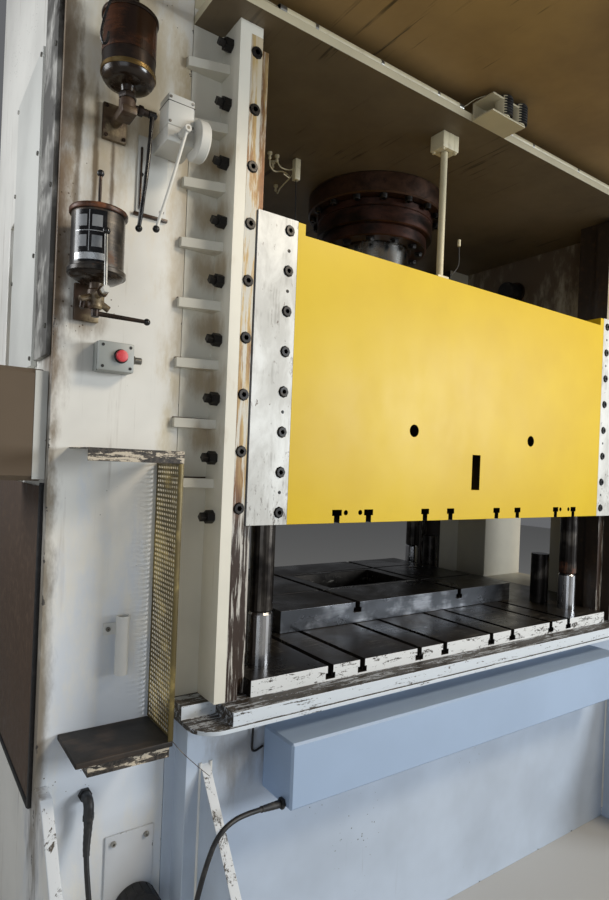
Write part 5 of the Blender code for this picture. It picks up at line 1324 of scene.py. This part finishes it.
def limit_switch():
    """The limit switch beside the upper oiler, with its plate, cover disc, screws and wand."""
    bm = bmesh.new()
    low, high = switch_level - 0.039, switch_level + 0.039
    axle = -1.167
    left = axle - 0.035
    add_block(bm, (-1.240, -0.517, low - 0.200), (-1.160, wall, low), 0, 0.001)
    add_block(bm, (left, -0.615, low - 0.040), (left + 0.080, -0.5145, low + gap), 0, 0.003)
    add_block(bm, (left, -0.6153, low), (left + 0.0703, -0.555, high), 0, 0.004)
    add_block(bm, (left - 0.0008, -0.6161, high - 0.020), (left + 0.0711, -0.5542, high - 0.0185), 1,
              0.0004)
    pivot = Vector((axle, -0.615, low - 0.020))
    disc = along(pivot + Vector((0.035, 0, 0)), pivot + Vector((1, 0, 0)))
    stack(bm, [(0, [(0, 0), (0.0485, 0), (0.050, 0.002), (0.050, 0.024), (0.047, 0.028), (0, 0.028)]),
               (2, [(0, 0.0278), (0.009, 0.0278), (0.009, 0.030), (0, 0.030)])], disc, 48)
    for z in (high - 0.010, low + 0.008):
        for x in (axle - 0.029, axle + 0.029):
            add_rod(bm, (x, -0.6145, z), (x, -0.6175, z), 0.0035, 14, 2, 0.0006)
    for x, z in ((-1.229, low - 0.182), (-1.171, low - 0.182), (-1.229, low - 0.100)):
        add_rod(bm, (x, -0.5165, z), (x, -0.5215, z), 0.0050, 6, 3, 0.0006)
    add_block(bm, (-1.246, -0.5215, low - 0.206), (-1.156, wall, low - 0.198), 1, 0.001)
    add_rod(bm, (-1.231, -0.519, low - 0.190), (-1.231, -0.519, low - 0.030), 0.0028, 12, 1)
    stand_in("limit_switch", bm, [switch_white, oiler_dark, zinc, bolt_black])
    bm = bmesh.new()
    start = pivot - Vector((0, gap, 0))
    hub = start - Vector((0, 0.048, 0))
    add_rod(bm, start, hub, 0.009, 24, 0)
    root = hub + Vector((0, 0.009, 0))
    end = root + Vector((-0.068, 0, -0.262))
    steps, bow = 12, 0.0016
    shares = [i / steps for i in range(steps + 1)]
    add_tube(bm, [root.lerp(end, t) + Vector((bow * math.sin(math.pi * t), 0, 0)) for t in shares], 0.004,
             14, 0)
    add_ball(bm, end, knob_radius, 1)
    add_rod(bm, hub, hub - Vector((0, 0.0001, 0)), 0.0045, 6, 2, 0.00002)
    stand_in("switch_wand", bm, [switch_white, knob_black, zinc], "switch_wand_body")


def stop_box():
    """The emergency stop: its box with lid line, screws, bezel and conduit nut, and the red button."""
    left, right, low, high = -1.332, -1.244, 1.760, 1.832
    lid_front = -0.564
    bm = bmesh.new()
    add_block(bm, (left, -0.545, low), (right, wall, high), 0, 0.003)
    # The lid line: a dark inset strip, painted shade in the gap.
    add_block(bm, (left + 0.0005, -0.5455, low + 0.0005), (right - 0.0005, -0.5445, high - 0.0005), 1,
              0.0004)
    add_block(bm, (left, lid_front, low), (right, -0.5453, high), 0, 0.004)
    for x in (left + 0.010, right - 0.010):
        for z in (low + 0.010, high - 0.010):
            add_rod(bm, (x, lid_front + 0.001, z), (x, lid_front - 0.0015, z), 0.0038, 16, 1, 0.0006)
    place = along((-1.278, lid_front + 0.0005, 1.798), (-1.278, -1, 1.798))
    stack(bm, [(1, [(0, 0), (0.0165, 0), (0.0175, 0.001), (0.0175, 0.0022), (0.0155, 0.0034),
                    (0, 0.0034)])], place, 40)
    conduit_nut = [(0, 0), (0.0115, 0), (0.012, 0.002), (0.012, 0.008), (0.0115, 0.009), (0, 0.009)]
    add_turned(bm, conduit_nut, 6, along((-1.2445, -0.538, 1.796), (0, -0.538, 1.796)), 2)
    add_rod(bm, (-1.236, -0.538, 1.796), (-1.218, -0.538, 1.796), 0.009, 24, 2)
    stand_in("estop_box", bm, [estop_grey, near_black_parts_and_painted_shade, zinc])
    bm = bmesh.new()
    low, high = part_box("estop_button")
    middle_x, middle_z = (low[0] + high[0]) / 2, (low[2] + high[2]) / 2
    tip = high[1] - low[1]
    profile = [(0, 0), (0.009, 0), (0.009, tip - 0.0102), (0.0135, tip - 0.010), (0.0145, tip - 0.009)]
    profile += [(0.0145, tip - 0.0035), (0.0128, tip - 0.0012), (0.008, tip), (0, tip)]
    add_turned(bm, profile, 40, along((middle_x, high[1], middle_z), (middle_x, -5, middle_z)))
    stand_in("estop_button", bm, [stop_red], "estop_button_body")


def small_left_fittings():
    """Tube holder, access cover, the cap on it, and the stay wire of the rack."""
    dressed("tube_holder", "frame", [pipe_white], 0, sharp=50)
    bm = bmesh.new()
    add_rod(bm, (-1.268, -0.5155, table + 0.163), (-1.268, -0.5205, table + 0.163), 0.006, 16, 0, 0.0008)
    # The socket: a small dark rod, painted shade.
    add_rod(bm, (-1.268, -0.5200, table + 0.163), (-1.268, -0.5210, table + 0.163), 0.0022, 6, 1, 0.0003)
    piece("tube_clip_screw", bm, [zinc, near_black_parts_and_painted_shade])
    bm = bmesh.new()
    cap_x, cap_z, cap_radius, grooves = -1.172, 0.380, 0.058, 18
    add_block(bm, (-1.253, -0.518, 0.190), (-1.126, wall, 0.578), 0, 0.0015)
    place = along((cap_x, -0.5175, cap_z), (cap_x, -2, cap_z))
    stack(bm, [(1, [(0, 0), (0.056, 0), (0.058, 0.003), (0.058, 0.046), (0.055, 0.0535), (0.050, 0.0545),
                    (0, 0.0545)]), (1, [(0, 0.0543), (0.044, 0.0543), (0.043, 0.0515), (0, 0.0515)])],
          place, 56)
    for i in range(grooves):
        a = 2 * math.pi * i / grooves
        x, z = cap_x + cap_radius * math.cos(a), cap_z + cap_radius * math.sin(a)
        add_rod(bm, (x, -0.524, z), (x, -0.566, z), 0.0014, 8, 1, 0.0004)
    stand_in("access_cover", bm, [cover_paint, rubber])
    places = [((x, -0.520, z), (0, -1, 0)) for x in (-1.233, -1.146) for z in (0.210, 0.558)]
    screws("cover_screws", places, 0.007, 0.007, 0.0034, zinc)
    bm = bmesh.new()
    route = [(-1.1545, -0.682, 0.870), (-1.120, -0.672, 0.828), (-1.070, -0.655, 0.775),
             (-1.0285, -0.640, 0.7335)]
    add_tube(bm, smooth_route(route, 16), 0.0009, 6)
    piece("rack_stay_wire", bm, [cast_brass])


# Fittings on the crown and the bed


def position_rod():
    """The white rod with its foot and screws, and the block that guides it."""
    x, y = -0.162, -0.553
    foot, top = [corner[2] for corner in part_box("position_rod")]
    bm = bmesh.new()
    add_block(bm, (x - 0.028, y - 0.020, foot), (x + 0.028, y + 0.020, foot + 0.026), 0, 0.002)
    add_rod(bm, (x, y, foot + 0.020), (x, y, top), 0.012, 32, 0, 0.001)
    for k in (-1, 1):
        add_rod(bm, (x + k * 0.021, y - 0.0198, foot + 0.013), (x + k * 0.021, y - 0.0245, foot + 0.013),
                0.0045, 16, 1, 0.0008)
    stand_in("position_rod", bm, [tube_paint, zinc], "slide_unit")
    bm = bmesh.new()
    low, high = under_crown - 0.056, under_crown
    for sx in (-1, 1):
        add_block(bm, (x + sx * 0.0128, y - 0.031, low), (x + sx * 0.039, y + 0.031, high), 0, 0.002)
    for sy in (-1, 1):
        add_block(bm, (x - 0.0135, y + sy * 0.0128, low), (x + 0.0135, y + sy * 0.031, high), 0, 0.001)
    for sx in (-1, 1):
        for sy in (-1, 1):
            bolt_x, bolt_y = x + sx * 0.030, y + sy * 0.022
            add_rod(bm, (bolt_x, bolt_y, low + 0.001), (bolt_x, bolt_y, low - 0.006), 0.0062, 6, 0, 0.001)
    stand_in("rod_guide_block", bm, [tube_paint])


def light_tubes():
    """The cream tubes along the crown's edge, with end caps, clips and their thin wires."""
    clips, clip_radius = 3, 0.0135
    y, z = -0.655, crown_base + 0.025 + gap + clip_radius
    for name, left, right in (("left_light_tube", -0.924, -0.196), ("right_light_tube", 0.040, 0.924)):
        bm = bmesh.new()
        add_rod(bm, (left, y, z), (right, y, z), 0.0128, 28, 0)
        for x in (left, right):
            inner = x + math.copysign(0.022, left + right - 2 * x)
            add_rod(bm, (x, y, z), (inner, y, z), clip_radius, 28, 1)
        for i in range(clips):
            x = left + (right - left) * (i + 0.5) / clips
            add_rod(bm, (x - 0.006, y, z), (x + 0.006, y, z), clip_radius, 28, 1)
        stand_in(name, bm, [tube_paint, zinc])
    bm = bmesh.new()
    for lift in (0.004, -0.005):
        route = [(-0.924, y, z + lift), (-0.950, y + 0.001, z + lift * 1.5),
                 (-0.975, y + 0.004, z + lift * 2), (-1.000, y + 0.006, z + lift * 2.4)]
        add_tube(bm, smooth_route(route, 16), 0.0016, 8)
    route = [(-0.200, y, z), (-0.185, y - 0.01, z + 0.012), (-0.165, y - 0.03, z + 0.030),
             (-0.140, y - 0.05, z + 0.042)]
    add_tube(bm, smooth_route(route, 16), 0.0012, 8)
    piece("light_wires", bm, [tube_paint])


def switch_bracket():
    """The channel on the crown's edge with its two black, ribbed sensors."""
    dressed("switch_bracket", "frame", [crown_paint, rubber], 0.001,
            lambda s, n: int(s.z > crown_base + 0.0615))
    low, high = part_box("switch_bracket")
    bm = bmesh.new()
    for x in (high[0] - 0.098, high[0] - 0.020):
        place = Matrix.Translation((x, low[1] + 0.020, crown_base + 0.006))
        for k in range(7):
            rib = nut(0.0262, 0.0073, 0.0027, 0.0018)
            add_turned(bm, rib, 28, place @ Matrix.Translation((0, 0, 0.0005 + k * 0.0088)))
        add_turned(bm, [(0, 0.0005), (0.0225, 0.0005), (0.0225, 0.066), (0.018, 0.070), (0, 0.070)], 28,
                   place)
    piece("switch_sensors", bm, [rubber])


def crown_pipes():
    """Grease points, pipes and a junction under the crown, a capped stub on the right wall and a wire."""
    bm = bmesh.new()
    base = crown_base - 0.0002
    grease_point = [(0, 0), (0.009, 0), (0.009, -0.008), (0.005, -0.010), (0.005, -0.018),
                    (0.0065, -0.022)]
    grease_point += [(0.004, -0.027), (0, -0.027)]
    for x, y in ((-0.591, -0.072), (-0.558, -0.070), (-0.545, -0.020), (-0.430, 0.143)):
        add_turned(bm, grease_point, 12, Matrix.Translation((x, y, base)), 0)
    routes = [
        [(-0.591, -0.072, base - 0.020), (-0.580, -0.060, base - 0.045), (-0.550, -0.045, base - 0.050),
         (-0.515, -0.045, base - 0.040),
         (-0.495, -0.060, base - 0.055), (-0.505, -0.080, base - 0.075), (-0.535, -0.085, base - 0.070)],
        [(-0.558, -0.070, base - 0.020), (-0.540, -0.070, base - 0.040), (-0.505, -0.075, base - 0.042),
         (-0.480, -0.086, base - 0.030)],
        [(-0.430, 0.143, base - 0.020), (-0.440, 0.110, base - 0.050), (-0.470, 0.040, base - 0.060),
         (-0.480, -0.060, base - 0.050)],
    ]
    for route in routes:
        add_tube(bm, smooth_route(route, 36), 0.0025, 8, 0)
    add_block(bm, (-0.492, -0.100, base - 0.080), (-0.468, -0.076, base), 0, 0.002)
    route = [(-0.480, -0.088, base - 0.078), (-0.478, -0.088, base - 0.15), (-0.470, -0.082, base - 0.24)]
    add_tube(bm, smooth_route([*route, (-0.452, -0.060, base - 0.30)], 20), 0.002, 8, 1)
    piece("crown_pipes", bm, [tube_paint, rubber])
    bm = bmesh.new()
    place = along((1.0999, 0.065, 2.545), (0, 0.065, 2.545))
    stack(bm, [(1, [(0, 0), (0.060, 0), (0.060, 0.010), (0.052, 0.013), (0, 0.013)]),
               (0, [(0, 0.012), (0.046, 0.012), (0.048, 0.015), (0.048, 0.090), (0.044, 0.096),
                    (0, 0.096)])], place, 40)
    piece("right_wall_cap", bm, [rubber, oiler_dark])
    bm = bmesh.new()
    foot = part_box("slide")[1][2] - 0.032
    route = [(-0.118, -0.560, foot), (-0.116, -0.562, foot + 0.035), (-0.100, -0.566, foot + 0.055)]
    route += [(-0.082, -0.568, foot + 0.085), (-0.084, -0.568, foot + 0.150)]
    add_tube(bm, smooth_route(route, 28), 0.0018, 8, 0)
    add_rod(bm, (-0.084, -0.568, foot + 0.148), (-0.084, -0.568, foot + 0.172), 0.0055, 16, 1)
    piece("slide_wire", bm, [rubber, tube_paint], "slide_unit")


def bed_fittings():
    """The bent hook rod beside the cover box."""
    bm = bmesh.new()
    route = [(-0.845, -0.587, 0.862), (-0.8600, -0.592, 0.855), (-0.8720, -0.593, 0.840),
             (-0.8760, -0.593, 0.760)]
    route += [(-0.8740, -0.593, 0.745), (-0.862, -0.592, 0.741), (-0.838, -0.590, 0.748)]
    add_tube(bm, smooth_route(route, 48), 0.0032, 10)
    piece("bed_hook_rod", bm, [bolt_black])


def outer_side():
    """Plates on the left upright's outer side: bright, speckled grey, and a dark panel of painted shade
    with a border.
    """
    face = -1.4275
    plates = (
        ((-1.4395, -0.500, 1.790), (-0.355, 2.860), 1, 0.002),
        ((-1.4420, -0.335, 1.780), (0.020, 2.620), 0, 0.002),
        # The dark plate below is painted shade on the lower side.
        ((-1.4330, -0.470, 0.700), (0.420, 1.470), 2, 0.002),
        ((-1.4360, -0.486, 0.690), (-0.470, 1.480), 3, 0.001),
        ((-1.4360, -0.470, 0.684), (0.430, 0.700), 3, 0.001),
    )
    bm = bmesh.new()
    for first, last, mat, edge in plates:
        add_block(bm, first, (face, *last), mat, edge)
    low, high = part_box("side_cover_box")
    first = (high[0] - 0.030, low[1] - 0.0012, low[2] + 0.004)
    last = (high[0] - 0.001, low[1] + 0.001, high[2] - 0.004)
    add_block(bm, first, last, 0, 0.0005)
    piece("outer_plates", bm, [side_paint, speckled_grey, dark_panel_painted_shade, rubber])
    places = [((-1.4420, y, z), (-1, 0, 0)) for y in (-0.325, 0.010) for z in (1.80, 2.07, 2.34, 2.60)]
    places += [((-1.4395, -0.490, z), (-1, 0, 0)) for z in (1.86, 2.20, 2.54)]
    screws("outer_screws", places, 0.006, 0.006, 0.003, zinc)
    levels = (low[2] + 0.020, (low[2] + high[2]) / 2, high[2] - 0.020)
    places = [((high[0] - 0.012, low[1], z), (0, -1, 0)) for z in levels]
    screws("side_box_screws", places, 0.004, 0.001, 0.002, near_black_parts_and_painted_shade)


def weld_seams():
    """Fillet welds along the tops of the carriers' ribs and down the sides of the gussets."""
    lines = []
    for row in screw_rows[:8]:
        z = rib_level(row + rib_offset) + 0.0135
        lines += [[(side * 1.0145, end * 0.5135, z), (side * 1.1175, end * 0.5135, z)]
                  for side, end in four_ways]
    grown("rib_welds", WELD, path_mesh("rib_weld_lines", lines), "frame", smooth=80, Radius=0.0026,
          Ripple=0.004, Finish=cast_brass)
    lines = []
    for x in (-1.3985, -1.029, -0.999, 0.999, 1.029, 1.3985):
        face = -0.5135 if abs(x) > 1.1 else -0.5865
        lines.append([(x, face, 0.04), (x, face, 0.745)])
    grown("gusset_welds", WELD, path_mesh("gusset_weld_lines", lines), "frame", smooth=80, Radius=0.0045,
          Ripple=0.006, Finish=upright_paint)


# Cable

cable_width = 0.013
cable_route = (
    (-0.8357, -0.7, 0.638), (-0.85, -0.7, 0.638), (-0.88, -0.705, 0.642), (-0.92, -0.715, 0.65),
    (-0.96, -0.725, 0.6565), (-1.0, -0.734, 0.658), (-1.035, -0.741, 0.648), (-1.06, -0.746, 0.626),
    (-1.077, -0.749, 0.595), (-1.09, -0.749, 0.557), (-1.101, -0.746, 0.51), (-1.112, -0.74, 0.45),
    (-1.127, -0.731, 0.385), (-1.149, -0.719, 0.32), (-1.18, -0.704, 0.269), (-1.216, -0.686, 0.25),
    (-1.25, -0.668, 0.265), (-1.277, -0.648, 0.308), (-1.296, -0.628, 0.37), (-1.308, -0.608, 0.442),
    (-1.314, -0.588, 0.52), (-1.315, -0.569, 0.59), (-1.3092, -0.5545, 0.64), (-1.309, -0.5543, 0.6594),
)


def hanging_cable():
    """The black cable from the cover box to the left upright, with its tapered glands and the elbow."""
    route = smooth_route(cable_route, 160)
    curve = bpy.data.curves.new("hanging_cable", "CURVE")
    curve.dimensions = "3D"
    curve.bevel_depth = cable_width / 2
    curve.bevel_resolution = 5
    curve.use_fill_caps = True
    spline = curve.splines.new("POLY")
    spline.points.add(len(route) - 1)
    for point, place in zip(spline.points, route):
        point.co = (*place, 1)
    curve.materials.append(rubber)
    ob = bpy.data.objects.new("hanging_cable", curve)
    scene.collection.objects.link(ob)
    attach(ob, "frame")
    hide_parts("cable")
    bm = bmesh.new()
    count = 12
    for ends in (route[:count], route[-1:-count - 1:-1]):
        radii = [0.0108 - 0.0032 * (i / (count - 1)) + (0.0006 if i % 2 else 0) for i in range(count)]
        add_tube(bm, ends, 0.01, 20, 0, radii)
    add_turned(bm, nut(0.0155, 0.0105, 0.001, 0.0015), 6, along(route[0] + Vector((gap, 0, 0)), route[3]),
               0)
    glands = piece("cable_glands", bm, [rubber])
    bm = bmesh.new()
    x, z, turn = -1.309, 0.705, 0.016
    root, bend, foot = Vector((x, wall, z)), Vector((x, -0.554, z)), Vector((x, -0.554, z - 0.045))
    way = [root, root.lerp(bend, 0.4)]
    for i in range(9):
        a = math.radians(90 * i / 8)
        way.append(Vector((x, -0.538 - turn * math.sin(a), z - turn * (1 - math.cos(a)))))
    add_tube(bm, [*way, foot], 0.0125, 24, 0)
    add_turned(bm, nut(0.017, 0.0105, 0.0005, 0.0015), 6, along(root, bend), 0)
    add_turned(bm, nut(0.014, 0.0155, 0.0005, 0.0015), 6, along(foot, bend), 0)
    elbow = stand_in("cable_elbow", bm, [rubber])


# Camera and light


def camera():
    """The photo's own place, aim and lens."""
    lens = bpy.data.cameras.new("camera")
    lens.lens = 24.17
    lens.sensor_width = 36
    lens.shift_y = 0.0161
    lens.clip_end = 100
    ob = bpy.data.objects.new("camera", lens)
    aim, roll = math.radians(34.73), math.radians(2.31)
    ahead = Vector((math.sin(aim), math.cos(aim), 0))
    level, up = Vector((math.cos(aim), -math.sin(aim), 0)), Vector((0, 0, 1))
    right = level * math.cos(roll) + up * math.sin(roll)
    top = up * math.cos(roll) - level * math.sin(roll)
    turn = Matrix((right, top, -ahead)).transposed().to_4x4()
    ob.matrix_world = Matrix.Translation((-1.7455, -2.0495, 1.5505)) @ turn
    scene.collection.objects.link(ob)
    scene.camera = ob
    scene.view_settings.view_transform = "Standard"


def lamp(name, place, aim, size, power, colour):
    """A soft lamp with a square face that looks at a point."""
    light = bpy.data.lights.new(name, "AREA")
    light.shape = "RECTANGLE"
    light.size, light.size_y = size
    light.energy = power
    light.color = colour
    ob = bpy.data.objects.new(name, light)
    ob.location = place
    ob.rotation_euler = (Vector(aim) - Vector(place)).to_track_quat("-Z", "Y").to_euler()
    scene.collection.objects.link(ob)


def studio():
    """A pale floor and soft lamps: cool from the right, warm from above, weak ones from the left."""
    bm = bmesh.new()
    bmesh.ops.create_grid(bm, x_segments=1, y_segments=1, size=14)
    mesh = bpy.data.meshes.new("floor")
    bm.to_mesh(mesh)
    bm.free()
    floor = bpy.data.objects.new("floor", mesh)
    made, w, shader = new_finish("floor")
    set_surface(w, shader, srgb(188, 187, 184), 0.7)
    mesh.materials.append(made)
    scene.collection.objects.link(floor)
    world = bpy.data.worlds.new("studio")
    world.use_nodes = True
    world.node_tree.nodes["Background"].inputs["Color"].default_value = (0.80, 0.82, 0.86, 1)
    world.node_tree.nodes["Background"].inputs["Strength"].default_value = 0.16
    scene.world = world
    lamp("day", (6.4, -7.9, 2.7), (-0.6, -0.5, 1.5), (3.8, 2.4), 600, (0.89, 0.95, 1.0))
    lamp("hall", (1.6, -3.6, 4.3), (-0.9, -0.5, 2.2), (1.4, 0.9), 112, (1.0, 0.86, 0.66))
    lamp("fill", (-4.4, -4.6, 1.6), (-0.9, -0.4, 0.9), (3.0, 3.0), 44, (0.84, 0.92, 1.0))
    lamp("side window", (-3.0, 0.1, 2.5), (-1.43, -0.2, 2.3), (0.8, 1.2), 26, (0.96, 0.98, 1.0))


camera()
studio()
frame_pieces()
carriers()
guides()
working_parts()
cylinder()
tool_rack()
upper_oiler()
lower_oiler()
limit_switch()
stop_box()
small_left_fittings()
position_rod()
light_tubes()
switch_bracket()
crown_pipes()
bed_fittings()
outer_side()
weld_seams()
hanging_cable()
